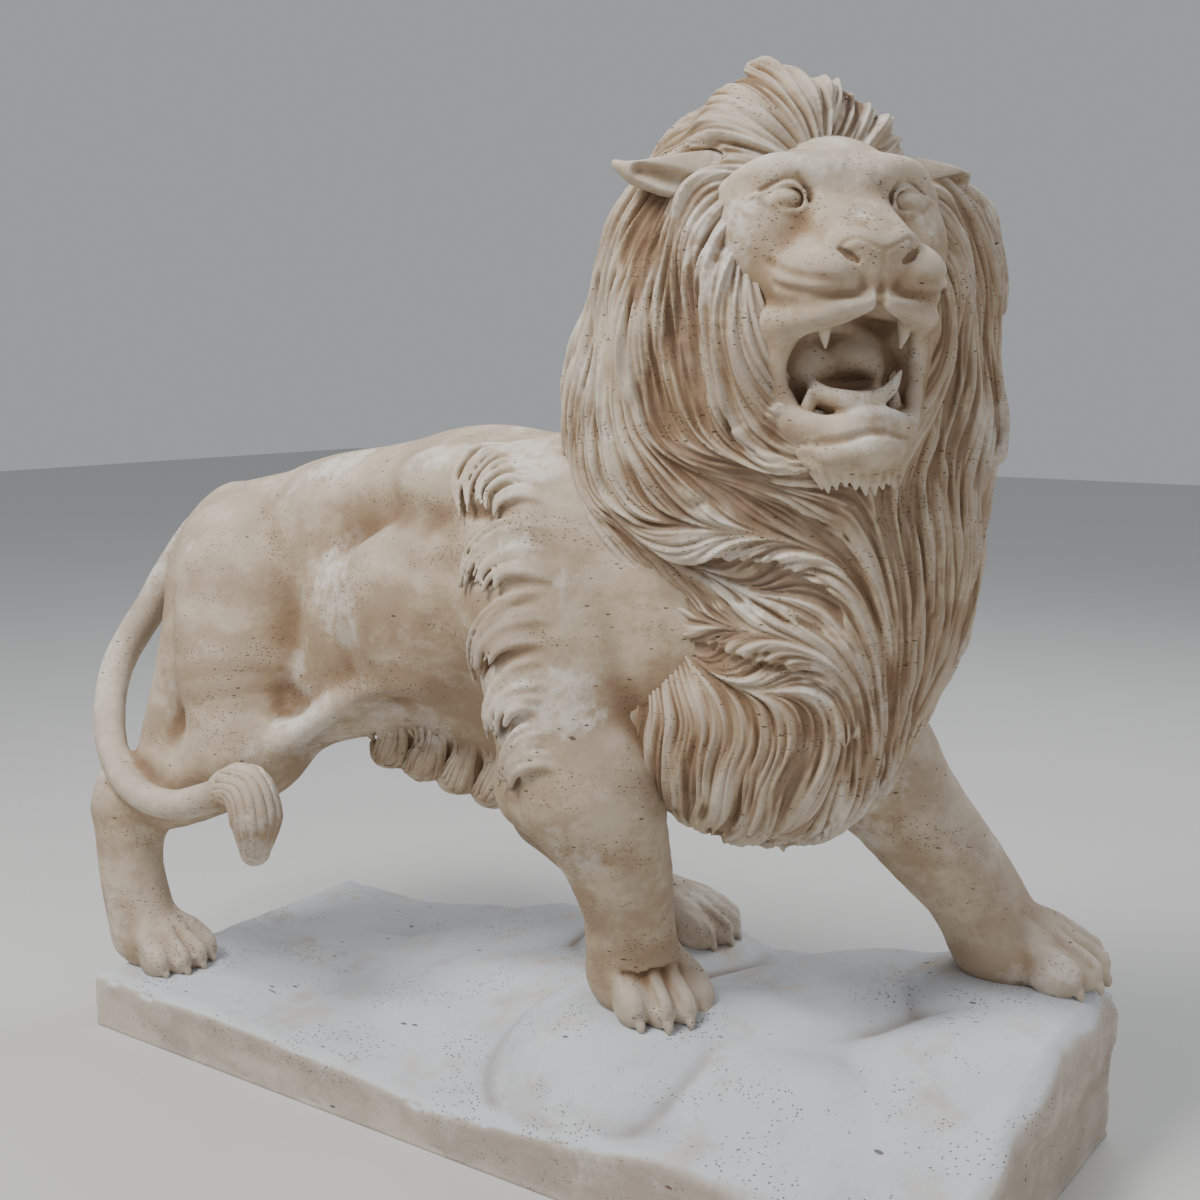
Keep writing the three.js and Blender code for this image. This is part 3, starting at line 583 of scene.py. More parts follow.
@dataclass
class Mane:
    """The mane: its mass, the way it is combed and the locks that lie on it."""

    neck_axis: float = 36.0

    def mass(self) -> list[Form]:
        """The rounded mass that the locks lie on.

        Returns:
            Its forms.
        """
        return [
            egg((35.5, 0, 112), (28, 26, 33), blend=6),
            egg((48, 4, 92), (25, 23, 34), blend=6),
            egg((44, -1, 67), (21, 19, 22.5), blend=6),
            egg((36, -5, 62), (15, 15, 16), blend=4),
            egg((-22, 2.4, -11), (17, 32.4, 30.5), HEAD, blend=6),
            egg((-20, 19, -32), (13, 14, 16), HEAD, blend=6),
            egg((-18, 23, 22), (24, 20, 15), HEAD, blend=8, carve=True),
            egg((-13, -6, 8.2), (9.5, 12.5, 11.6), HEAD, blend=3),
            egg((-14, 4, 7), (8.5, 10, 10), HEAD, blend=3),
            limb([(-8, -3, 13, 3.4), (-11, -6.5, 18, 2.6), (-12.5, -9.5, 20.6, 1)], HEAD, blend=2),
            limb([(16, -8, 104, 5), (9, -9, 102, 4.5), (4.5, -9, 99, 2.6), (3, -9, 96, 1)], blend=2.5),
            *[limb([(-9, s * 18, 0, 3), (-7.6, s * 17.8, -5, 3.8), (-5.2, s * 16.8, -11, 4.4),
                    (-3.0, s * 15.2, -17, 4.5), (-2.2, s * 13.6, -23, 4.2), (-2.6, s * 11.6, -29, 4),
                    (-2.6, s * 8, -34.5, 3.4), (-3.2, s * 3, -38.5, 3)], HEAD, blend=8) for s in HEAD_SIDES],
        ]

    def ear_room(self) -> list[Form]:
        """The room that is cut free round each ear."""
        return [
            limb([(-8, s * 16.5, 6.5, 1.0), (-11, s * 20, 8.2, 2.2), (-15.5, s * 28, 9.8, 3.4)],
                 HEAD, 1.5, True)
            for s in HEAD_SIDES
        ]

    def combing(self, p: Array) -> Array:
        """Which way the hair runs: round the face above, forward and down below.

        Args:
            p: places, one row each.

        Returns:
            One direction for each place, of length 1.
        """
        out = p - FACE_MIDDLE
        ahead = out @ FORWARD
        out = out - ahead[:, None] * FORWARD
        side = np.where(out @ LEFT < 0, 1.0, -1.0)
        out /= np.maximum(np.linalg.norm(out, axis=1), 1e-6)[:, None]
        top = out @ UP
        crown = smooth(top, 0.5, 0.95)[:, None]
        way = np.cross(FORWARD, out) * side[:, None] * (1 - 0.72 * crown)
        way += out * (0.12 + 0.55 * crown)
        way += FORWARD * (-0.12 - 0.9 * crown)
        way /= np.linalg.norm(way, axis=1)[:, None]
        behind = smooth(-ahead, 16, 30)[:, None]
        way = way * (1 - behind) + np.array([-0.4, 0, -1]) * behind

        turn = np.arctan2(p[:, 1], p[:, 0] - self.neck_axis)
        degrees = np.degrees(np.abs(turn))
        fall = np.interp(degrees, (0, 11, 19, 27, 36, 50, 72, 92, 108, 135, 180),
                         (9, 8, 3.2, 1.3, 0.35, -0.2, 0.15, 0.75, 1.3, 2.2, 3.0))
        near = np.where(turn < 0, 1.0, -1.0)
        low = smooth(-p[:, 2], -74, -60) * smooth(degrees, 12, 30)
        drive = (1 - 1.5 * low) * near
        waves = 0.75 * np.sin(p[:, 2] * 0.42 + 2.5 * turn) * smooth(degrees, 20, 60)
        fall = fall * (1 - low) + 1.9 * low + waves
        sweep = np.column_stack([-np.sin(turn) * drive, np.cos(turn) * drive, -fall])
        sweep /= np.linalg.norm(sweep, axis=1)[:, None]
        high = smooth(p[:, 2], 98, 116)[:, None]
        way = sweep * (1 - high) + way * high
        return way / np.maximum(np.linalg.norm(way, axis=1), 1e-6)[:, None]


@dataclass
class Flow:
    """Follows the combing over the mane's mass."""

    mane: Mane
    cell: float = 0.8
    block: Block = field(init=False)
    slope: Array = field(init=False)
    way: Array = field(init=False)

    def __post_init__(self) -> None:
        """Works out the mass, its outward slope and the combing on a lattice."""
        self.block = Block((-2, -46, 30), (86, 48, 176), self.cell)
        distance = WideBlock(self.block).add(self.mane.mass())
        self.block.values = distance
        slope = np.stack(np.gradient(distance, self.cell), axis=-1).reshape(-1, 3).astype(np.float32)
        slope /= np.maximum(np.linalg.norm(slope, axis=1), 1e-6)[:, None]
        self.slope = slope
        places = np.stack(np.meshgrid(*self.block.axes, indexing="ij"), axis=-1).reshape(-1, 3)
        way = self.mane.combing(places).astype(np.float32)
        way -= slope * (way * slope).sum(axis=1)[:, None]
        self.way = way / np.maximum(np.linalg.norm(way, axis=1), 1e-6)[:, None]

    def read(self, values: Array, places: Array) -> Array:
        """Values with one row for each voxel, eased between the voxels.

        Args:
            values: one row for each voxel.
            places: one row each.

        Returns:
            One row of values for each place.
        """
        shape = self.block.values.shape
        at = np.clip((places - self.block.low) / self.cell, 0, np.array(shape) - 1.001).astype(np.float32)
        i = at.astype(np.int32)
        f = at - i
        base = (i[:, 0] * shape[1] + i[:, 1]) * shape[2] + i[:, 2]
        total = 0.0
        for dx in (0, 1):
            wx = f[:, 0] if dx else 1 - f[:, 0]
            for dy in (0, 1):
                wy = wx * (f[:, 1] if dy else 1 - f[:, 1])
                row = base + (dx * shape[1] + dy) * shape[2]
                total = total + (wy * (1 - f[:, 2]))[:, None] * values[row]
                total = total + (wy * f[:, 2])[:, None] * values[row + 1]
        return total

    def surface(self, p: Array) -> tuple[Array, Array]:
        """Distance to the mass and the outward direction at places.

        Args:
            p: places, one row each.

        Returns:
            The distances and the directions.
        """
        slope = self.read(self.slope, p)
        distance = self.read(self.block.values.reshape(-1, 1), p)[:, 0]
        return distance, slope / np.maximum(np.linalg.norm(slope, axis=1), 1e-6)[:, None]

    def follow(self, p: Array, level: Array, step: float) -> Array:
        """Moves places one step along the combing, at their own level over the mass.

        Args:
            p: places, one row each.
            level: of each over the mass.
            step: how far they move.

        Returns:
            The new places.
        """
        q = p + self.read(self.way, p) * step
        distance, up = self.surface(q)
        return q - up * (distance - level)[:, None]

    def streaks(self, places: Array, lattice: Lattice, cell: float, reach: float) -> Array:
        """Noise drawn out along the combing.

        Args:
            places: where it is wanted.
            lattice: the random numbers.
            cell: width of the streaks.
            reach: how far each way it is drawn out.

        Returns:
            Values about 0 with a spread of 1.
        """
        step = 0.45 * cell
        count = int(reach / step)
        total = np.zeros(len(places), np.float32)
        for sign in (1.0, -1.0):
            p = places.astype(np.float32)
            for k in range(count + 1):
                if k or sign > 0:
                    weight = 0.5 + 0.5 * math.cos(math.pi * k / (count + 1))
                    total += weight * (lattice.sample(p, cell) - 0.5)
                p = p + self.read(self.way, p) * np.float32(sign * step)
        return total / max(float(total.std()), 1e-6)


@dataclass
class WideBlock:
    """A block whose forms are worked out everywhere, not only near them."""

    block: Block

    def add(self, forms: list[Form]) -> Array:
        """Distance to the forms in every voxel.

        Args:
            forms: in the order that they melt.

        Returns:
            One distance for each voxel.
        """
        whole = tuple(slice(0, size) for size in self.block.values.shape)
        values = self.block.values.copy()
        for form in forms:
            distance = form.distance(self.block, whole)
            if form.carve:
                values = -melt(-values, distance, form.blend)
            else:
                values = melt(values, distance, form.blend)
        return values


@dataclass
class Lock(Form):
    """A flat pointed lock of hair along a path over the mass."""

    rows: Array

    def box(self) -> tuple[Array, Array]:
        """Box that holds the lock."""
        reach = self.rows[:, 6:7]
        return (self.rows[:, :3] - reach).min(axis=0), (self.rows[:, :3] + reach).max(axis=0)

    def distance(self, block: Block, window: tuple[slice, slice, slice]) -> Array:
        """Distance to the lock over a window of a block.

        Args:
            block: the voxels.
            window: which of them are wanted.

        Returns:
            One distance for each voxel.
        """
        best = np.full(block.values[window].shape, FAR, np.float32)
        offset = [part.start for part in window]
        for a, b in zip(self.rows[:-1], self.rows[1:]):
            reach = max(a[6], b[6]) + self.blend + block.band
            near = block.window(np.minimum(a[:3], b[:3]) - reach, np.maximum(a[:3], b[:3]) + reach)
            if near is None:
                continue
            local = tuple(slice(max(part.start - o, 0), min(part.stop - o, size))
                          for part, o, size in zip(near, offset, best.shape))
            near = tuple(slice(part.start + o, part.stop + o) for part, o in zip(local, offset))
            x, y, z = block.axes_of(near)
            span = b[:3] - a[:3]
            length = float(np.linalg.norm(span))
            along = span / length
            up = a[3:6] - along * float(a[3:6] @ along)
            up /= np.linalg.norm(up)
            across = np.cross(along, up)
            dx, dy, dz = x - a[0], y - a[1], z - a[2]
            run = dx * along[0] + dy * along[1] + dz * along[2]
            t = np.clip(run / length, 0, 1)
            past = run - t * length
            u = dx * across[0] + dy * across[1] + dz * across[2]
            v = dx * up[0] + dy * up[1] + dz * up[2]
            wide = a[6] + t * (b[6] - a[6])
            thick = a[7] + t * (b[7] - a[7])
            k0 = np.sqrt((u / wide) ** 2 + (v / thick) ** 2 + (past / thick) ** 2)
            k1 = np.sqrt((u / wide ** 2) ** 2 + (v / thick ** 2) ** 2 + (past / thick ** 2) ** 2)
            best[local] = np.minimum(best[local], k0 * (k0 - 1) / np.maximum(k1, 1e-6))
        return best


@dataclass
class Locks:
    """Lays pointed locks over the mane's mass, along the combing."""

    flow: Flow
    count: int = 150
    width: float = 4.4
    thickness: float = 2.1
    step: float = 1.6
    hook: float = 3.4

    def lay(self) -> list[Lock]:
        """Makes the locks from starts spread evenly over the mass.

        Returns:
            The locks.
        """
        golden = math.pi * (3 - math.sqrt(5))
        starts = []
        for i in range(self.count):
            height = 1 - 2 * (i + 0.5) / self.count
            flat = math.sqrt(1 - height * height)
            way = np.array([flat * math.cos(i * golden), flat * math.sin(i * golden), height])
            reach = np.arange(0.0, 70.0, 0.5)[:, None] * way + np.array([40.0, 0.0, 108.0])
            distance, _ = self.flow.surface(reach)
            outside = np.flatnonzero(distance > 0)
            start = reach[outside[0]]
            to_face = start - FACE_MIDDLE
            ahead = float(to_face @ FORWARD)
            from_axis = float(np.linalg.norm(to_face - ahead * FORWARD))
            if ahead > -8 and from_axis < 20:
                continue
            starts.append(start)
        return self.along(np.array(starts), 27 + 10 * (np.arange(len(starts)) * 0.618 % 1))

    def along(self, starts: Array, lengths: Array) -> list[Lock]:
        """Locks that follow the combing from their starts.

        Args:
            starts: one place for each lock.
            lengths: one length for each lock.

        Returns:
            The locks.
        """
        level = np.zeros(len(starts))
        p = starts.copy()
        paths = []
        for _ in range(int(lengths.max() / self.step) + 1):
            _, up = self.flow.surface(p)
            paths.append(np.column_stack([p, up]))
            p = self.flow.follow(p, level, self.step)
        paths = np.array(paths)
        locks = []
        for i, length in enumerate(lengths):
            rows = paths[:int(length / self.step) + 1, i]
            t = np.linspace(0, 1, len(rows))
            swell = np.sin(np.pi * (0.14 + 0.86 * t) ** 0.8) ** 0.6
            wide = 0.35 + self.width * (0.75 + 0.5 * (i * 0.37 % 1)) * swell
            thick = 0.35 + self.thickness * swell
            lift = -2.0 + 2.5 * t ** 1.6
            along = np.gradient(rows[:, :3], axis=0)
            across = np.cross(along, rows[:, 3:6])
            across /= np.maximum(np.linalg.norm(across, axis=1), 1e-6)[:, None]
            hook = self.hook * (1 if i % 3 else -1.2) * t ** 4
            places = rows[:, :3] + rows[:, 3:6] * lift[:, None] + across * hook[:, None]
            locks.append(Lock(0.7, False, np.column_stack([places, rows[:, 3:6], wide, thick])))
        return locks


@dataclass
class Lion:
    """The lion's body, legs, tail and head as lists of forms."""

    near_hind: Place = (-85.5, -23.5, 0.0)
    far_hind: Place = (8.0, 27.0, ROCK_TOP * 0.65)
    near_front: Place = (23.0, -8.0, ROCK_TOP * 0.76)
    far_front: Place = (HALF_LENGTH - 14.5, HALF_WIDTH - 6.0, ROCK_TOP + 1)
    tail_tuft: tuple[tuple[float, ...], ...] = (
        (-52, -33, 44, 3.4), (-47, -33, 44.8, 4.3), (-44.4, -33.4, 40, 4.6), (-45, -33.4, 33.4, 2.8))
    ribs: int = 4
    lobes: int = 5
    toe_reach: float = 8.6
    toe_arch: float = 0.95
    toe_width: float = 3.6

    def feet(self) -> tuple[Place, ...]:
        """Where the paws stand."""
        return self.near_hind, self.far_hind, self.near_front, self.far_front

    def trunk(self) -> list[Form]:
        """The trunk, from the chest to the croup.

        Returns:
            Its forms.
        """
        return [
            egg((22, 0, 83), (30, 21, 31), blend=6),
            egg((-14, 0, 81), (38, 21.5, 29), blend=8),
            egg((-42, 0, 76), (28, 16, 25), blend=8),
            egg((-46, 0, 87), (32, 14, 16.2), blend=8),
            egg((-75, 0, 80.5), (21, 17, 16.8), blend=6),
            *both_sides(lambda s: [
                egg((-44, s * 8, 63), (17, 10, 12), blend=6),
                egg((-36, s * 21.5, 91), (18, 7, 6), turn=(0, 6, 0), blend=7, carve=True),
                egg((-20, s * 17.8, 79), (14.5, 5.6, 13.5), blend=6),
                egg((-36, s * 13.5, 74), (11, 5.5, 10), blend=6),
                limb([(-46, s * 21.5, 86, 2.4), (-50.5, s * 21.5, 77, 3.2), (-51, s * 22.5, 68, 2)],
                     blend=6, carve=True),
                egg((-12, s * 15, 101), (11, 6, 5.5), blend=6),
            ]),
            *[rib for i in range(self.ribs) for rib in both_sides(lambda s: [self.rib(s, i)])],
            limb([(-44, 0, 58, 6), (-22, 0, 55.5, 7.5), (2, 0, 53, 9)], blend=5),
            egg((-34, 0, 53.5), (5, 8, 4.5), blend=3),
            *[lobe for i in range(self.lobes) for lobe in both_sides(lambda s: [self.lobe(s, i)])],
        ]

    def lobe_place(self, index: int) -> tuple[float, float]:
        """How far ahead and how high a lobe under the belly is."""
        return -38 + 8.4 * index, 49.5 - 1.2 * index

    def lobe(self, side: int, index: int) -> Form:
        """A curled lobe of hair under the belly, hooked back.

        Args:
            side: -1 or 1.
            index: counted from the hind one.

        Returns:
            The lobe.
        """
        x, z = self.lobe_place(index)
        return limb([(x + 5, side * 4, z + 5, 4.2), (x + 3, side * 5, z - 0.8, 4.1),
                     (x - 1.4, side * 5, z - 3.2, 2.4), (x - 3.8, side * 5, z - 1.6, 1.0)], blend=0.8)

    def rib(self, side: int, index: int) -> Form:
        """A low rib under the skin of one flank.

        Args:
            side: -1 or 1.
            index: counted from the front.

        Returns:
            The rib.
        """
        x = -10 - 6.5 * index
        return limb([(x, side * (20.2 - 0.7 * index), 90 - index, 0.9),
                     (x - 3, side * (22.0 - 0.8 * index), 80 - index, 1.3),
                     (x - 7, side * (19.8 - 0.6 * index), 70 - index, 0.9)], blend=3.5)

    def paw(self, place: Place, yaw: float, size: float) -> list[Form]:
        """A paw on the ground: a pad, four toes with claws, the gaps between them and the fur's lines.

        Args:
            place: of its middle on the ground.
            yaw: that it points to, in degrees.
            size: against the smallest one.

        Returns:
            Its forms.
        """
        base = Matrix.Translation(place) @ turning(yaw) @ Matrix.Scale(size, 4)
        forms: list[Form] = [egg((-0.5, 0, 4.2), (9.5, 7.2, 5.6), base, blend=3)]
        for toe in (-1.5, -0.5, 0.5, 1.5):
            ahead = self.toe_reach - self.toe_arch * toe * toe
            across = toe * self.toe_width
            fan = toe * 5
            forms += [
                egg((ahead - 0.2, across, 3.5), (4.4, 2.6, 3.7), base, (fan, 0, 0), 0.7),
                egg((ahead - 1.8, across, 5.9), (3.4, 2.1, 2.3), base, (fan, -24, 0), 1.2),
                limb([(-3, toe * 1.9, 9.4, 0.9), (2, toe * 2.8, 8.4, 1.1), (ahead - 3.4, across, 7.0, 1.2)],
                     base, 1.6),
                limb([(ahead + 2.8, across * 1.03, 2.4, 0.9), (ahead + 3.7, across * 1.05, 1.4, 0.75),
                      (ahead + 3.9, across * 1.06, 0.4, 0.4)], base, 0.35),
            ]
        pad = Relief(list(forms))
        for gap in (-1, 0, 1):
            knots = [(5.4, gap * 3.3, 8.4, 0.15), (7.4, gap * 3.5, 7.4, 0.6), (11, gap * 3.8, 4.6, 0.75)]
            forms.append(pad.line(knots, base, -0.3, 0.7))
        for hair in range(-10, 11):
            wide = hair * 0.62
            ahead = self.toe_reach - self.toe_arch * (wide / self.toe_width) ** 2
            knots = [(5.6, wide, 8.4, 0.1), (ahead - 0.6, wide, 8.0, 0.5),
                     (ahead + 2.2, wide * 1.04, 6.0, 0.55), (ahead + 3.6, wide * 1.06, 3.0, 0.25)]
            forms.append(pad.line(knots, base, 0.05, 0.35))
        return forms

    def near_hind_leg(self) -> list[Form]:
        """The near hind leg, which stands at the back of the plinth.

        Returns:
            Its forms.
        """
        return [
            egg((-70, -9, 68), (17, 13, 24), blend=5),
            limb([(-70, -9, 80, 14), (-67, -15, 63, 13), (-62, -18, 48, 10)], blend=4),
            limb([(-81, -9, 76, 9), (-81, -14, 60, 8.6), (-84, -19, 44, 6.8)], blend=5),
            limb([(-61, -18, 48, 10), (-77, -20, 38.5, 8.4), (-93, -22, 32, 6.8)], blend=4),
            limb([(-99.5, -22, 35, 3.6), (-94, -23, 31, 7), (-92, -24.5, 19, 6.4), (-89, -24.5, 8, 6.6)],
                 blend=4),
            limb([(-17, -18.6, 65.5, 0.8), (-28, -18.2, 63.2, 1.3), (-36, -18.2, 59.6, 1.6),
                  (-44, -19.2, 54.4, 2), (-52, -20.4, 49, 3), (-60, -21, 44, 4.5)], blend=5),
            limb([(-44, -10, 56, 5), (-58, -14, 49, 6)], blend=4),
            *self.paw(self.near_hind, -4, 1),
        ]

    def far_hind_leg(self) -> list[Form]:
        """The far hind leg, which steps forward under the belly.

        Returns:
            Its forms.
        """
        return [
            egg((-70, 9, 70), (18, 12, 22), blend=5),
            limb([(-68, 10, 78, 14.5), (-52, 15, 66, 13), (-36, 18, 55, 10.5)], blend=4),
            limb([(-36, 18, 56, 10), (-27, 20, 44, 7.6), (-20, 21, 33, 6.4)], blend=4),
            limb([(-25, 21, 36, 3.6), (-19, 21.5, 31, 6.6), (-8, 24, 22, 6), (3, 26, 16, 6.4)], blend=4),
            *self.paw(self.far_hind, 6, 1),
        ]

    def near_front_leg(self) -> list[Form]:
        """The near front leg with its heavy shoulder and elbow.

        Returns:
            Its forms.
        """
        shift = self.near_front[2] - 10.2
        return [
            egg((7, -13, 86), (17, 14, 22), blend=6),
            limb([(9, -15, 82, 13), (13, -18, 66, 12.5), (18.7, -18.7, 52.6, 11.5)], blend=4),
            limb([(18.7, -17.7, 52.6, 11.5), (22.3, -15.3, 39 + 0.7 * shift, 9), (22, -11.5, 28 + shift, 7.6),
                  (21, -8.5, 17 + shift, 8)], blend=4),
            egg((8, -20, 51), (6, 6, 7), blend=5),
            limb([(26, -22, 60, 1.4), (29, -20, 50, 1.6), (29, -17, 41, 1.1)], blend=3),
            *self.paw(self.near_front, -30, 1.08),
        ]

    def far_front_leg(self) -> list[Form]:
        """The far front leg, which reaches out to the plinth's front corner.

        Returns:
            Its forms.
        """
        return [
            egg((16, 13, 84), (18, 14, 22), blend=6),
            limb([(22, 15, 80, 14), (38, 18, 66, 13), (50, 20.5, 54, 11)], blend=4),
            limb([(50, 20.5, 54.2, 11), (59, 23.5, 42.3, 9.4), (66.5, 27, 32.5, 8.2), (71.5, 29, 23.5, 8)],
                 blend=4),
            *self.paw(self.far_front, 3, 1.15),
        ]

    def tail(self) -> list[Form]:
        """The tail, which swings out behind and comes round in front of the hock.

        Returns:
            Its forms.
        """
        reach = [(-84, 0, 90, 6), (-95.8, 0, 84.7, 4.4), (-104, -6, 70.7, 3.6), (-107, -14, 57.5, 3.3),
                 (-100, -22, 47.5, 3.1), (-90, -28, 41.2, 2.9), (-79, -31.5, 38, 2.8), (-67, -33, 38.3, 2.8),
                 (-56, -33, 41.8, 3.0), (-50, -33, 44.5, 3.4)]
        return [limb(reach, blend=3), limb(self.tail_tuft, blend=2)]

    def body(self) -> list[Form]:
        """All of the body but its head and mane."""
        return [*self.trunk(), *self.near_hind_leg(), *self.far_hind_leg(), *self.near_front_leg(),
                *self.far_front_leg(), *self.tail()]

    def mouth(self) -> list[Form]:
        """The hollow of the open mouth.

        Returns:
            Its forms.
        """
        return [
            egg((4, -0.9, -24.4), (13, 9.2, 6.8), HEAD, (0, 10, 0), 1.0, True),
            egg((9, 0.3, -20.2), (6, 5, 3.6), HEAD, blend=1.5, carve=True),
        ]

    def skull(self) -> list[Form]:
        """The rounded masses of the face.

        Returns:
            Its forms.
        """
        pair = both_sides(lambda s: [
            limb([(0.6, s * 2.6, 2.2, 2.2), (-0.2, s * 7, 3.4, 2.4), (-2.6, s * 11, 3.2, 2.6),
                  (-7, s * 15, 0.8, 2.4)], HEAD, 2.5),
            egg((-6, s * 10.5, -8), (8, 6.2, 10), HEAD, blend=4),
            egg((-4.6, s * 12.4, -6), (4.4, 4.6, 6), HEAD, blend=3),
            egg((4.4, s * 6.0, -12.2), (8.4, 6.4, 5.4), HEAD, blend=2.6),
            limb([(11.6, s * 1.2, -15.4, 1.0), (11.0, s * 4.2, -16.6, 1.4), (9.0, s * 7.4, -17.3, 1.6),
                  (5.0, s * 10, -17.6, 1.9), (0, s * 12, -18.4, 2.4)], HEAD, 1.6),
            egg((-2, s * 9.8, -22), (5.6, 3.6, 8), HEAD, blend=3),
            limb([(5.4, s * 3, -33.4, 2.0), (1.5, s * 8.6, -31.5, 2.2), (-5, s * 11.6, -26, 3.2),
                  (-12, s * 12, -18, 5)], HEAD, 2),
        ])
        return [
            egg((-12, 0, -2), (15, 14, 13), HEAD, blend=4),
            egg((-4.4, 0, 1.8), (7, 9, 5.6), HEAD, blend=3),
            egg((-14, 0, -22), (14, 13, 17), HEAD, blend=4),
            *pair,
            egg((2.0, 0, -9.6), (9.5, 8, 6.6), HEAD, blend=3),
            limb([(-3, 0, -1.6, 4.4), (4, 0, -5.6, 4.3), (9.2, 0, -8.4, 3.4)], HEAD, 2.5),
            *both_sides(lambda s: [
                limb([(-1, s * 3.6, -1.4, 2.6), (4, s * 3.2, -4.4, 2.6), (9.4, s * 3.8, -7.6, 2.0)], HEAD, 2),
            ]),
            limb([(9.4, -5.3, -8.2, 1.4), (11.2, -2.8, -8.2, 1.8), (11.7, 0, -9.0, 1.8),
                  (11.2, 2.8, -8.2, 1.8), (9.4, 5.3, -8.2, 1.4)], HEAD, 1.0),
            egg((10.6, 0, -10.4), (2.4, 4.6, 2.6), HEAD, blend=1.0),
            egg((10.8, 0, -12), (1.9, 2.4, 2.6), HEAD, blend=1.0),
            egg((3.6, 0.2, -36.0), (5.6, 7.2, 3.6), HEAD, blend=1.6),
            egg((-6, 0, -34), (12, 9.5, 4.6), HEAD, blend=3),
        ]

    def marks(self) -> list[Form]:
        """The lines of the face: nostrils, the groove under the nose and folds of the muzzle and brow.

        Returns:
            Its forms.
        """
        face = Relief(self.skull())
        lines = [
            face.line([(13.1, 0, -9.6, 0.25), (13.1, 0, -12.3, 0.3), (12.9, 0, -14, 0.5),
                       (12.2, 0, -16.2, 0.7)], HEAD),
            face.line([(11.9, -6.0, -8.7, 0.25), (12.7, -4.7, -7.7, 0.3), (13.4, -3.2, -7.8, 0.25),
                       (13.4, -1.5, -8.8, 0.25), (13.6, 0, -9.2, 0.25), (13.5, 1.7, -8.7, 0.25),
                       (13.0, 4.2, -7.4, 0.3), (12.4, 4.6, -8.9, 0.35), (13.0, 2.4, -10.9, 0.3),
                       (13.1, 0.2, -12.6, 0.25)], HEAD, 0.1, 0.4),
        ]
        for s in (-1, 1):
            lines += [
                face.line([(11.4, s * 5.6, -9.0, 0.3), (12.0, s * 4.5, -9.9, 0.62),
                           (12.5, s * 3.4, -10.7, 0.4)], HEAD, -0.2, 0.3),
                face.line([(4.0, s * 11.9, -12.8, 0.25), (9.3, s * 10.5, -14.5, 0.5),
                           (11.6, s * 6.2, -14.9, 0.45), (12.5, s * 1.7, -15.0, 0.2)], HEAD, 0.1, 1.0),
                face.line([(1.7, s * 11.6, -9.6, 0.2), (7.0, s * 11.5, -11.6, 0.3),
                           (10.9, s * 9.6, -12.8, 0.35), (12.6, s * 5.8, -13.3, 0.2)], HEAD, 0.15, 1.0),
                face.line([(2.0, s * 7.9, 2.5, 0.2), (1.8, s * 7.0, 1.4, 0.35), (1.5, s * 6.0, 0.1, 0.2)],
                          HEAD, 0, 0.5),
            ]
        return lines

    def eye(self, s: int) -> list[Form]:
        """One eye with its lids, set almost flush.

        Args:
            s: its side, -1 or 1.

        Returns:
            Its forms.
        """
        face = Relief(self.skull())
        settled, _ = face.settle(np.array([HEAD @ Vector((0.8, s * 8.9, -0.6))]))
        x, y, z = HEAD.inverted() @ Vector(settled[0])
        turn = (s * 14,)
        upper = [(1.2, s * 6.2, -2.0, 0.2), (1.6, s * 6.7, 0.1, 0.3), (1.6, s * 8.0, 1.1, 0.4),
                 (1.2, s * 9.5, 1.25, 0.42), (0.2, s * 10.9, 0.75, 0.4), (-1.3, s * 12.1, -0.25, 0.3),
                 (-1.9, s * 13.4, -0.9, 0.15)]
        lower = [(1.2, s * 6.2, -2.0, 0.2), (1.2, s * 7.3, -2.35, 0.26), (0.7, s * 9.4, -2.55, 0.28),
                 (-0.3, s * 11, -1.9, 0.26), (-1.2, s * 12.2, -0.9, 0.15)]
        crease = [(kx + 0.1, ky, kz + 0.75, 0.14) for kx, ky, kz, _ in upper[1:6]]
        return [
            egg((x + 0.2, y + s * 0.3, z), (1.2, 3.4, 1.6), HEAD, turn, 1.2, True),
            egg((x - 1.6, y + s * 0.2, z), (2.4, 3.0, 1.85), HEAD, turn, 0.3),
            face.line(upper, HEAD, 0.05, 0.5, False),
            face.line(lower, HEAD, -0.12, 1.0, False),
            face.line(crease, HEAD, 0.05, 0.6),
        ]

    def beard(self) -> list[Form]:
        """Short pointed locks along the chin's lower edge.

        Returns:
            Its forms.
        """
        forms: list[Form] = []
        for row, (count, depth, reach) in enumerate(((17, -37.0, 5.6), (18, -35.6, 6.8), (18, -33.8, 7.6))):
            for i in range(count):
                angle = math.radians(-115 + 230 * (i + 0.5 * row) / (count - 1))
                x = 1.3 + 0.7 * reach * math.cos(angle)
                y = 0.3 + reach * math.sin(angle)
                drop = 3.4 + 1.1 * math.cos(angle) + 0.6 * math.sin(5 * i + row)
                knots = [(x - 0.5, y, depth + 0.9, 0.8), (x + 0.25, y * 1.03, depth - 0.5 * drop, 0.95),
                         (x + 0.1, y * 1.03 + 0.4, depth - drop, 0.25)]
                forms.append(limb(knots, HEAD, 0.4))
        return forms

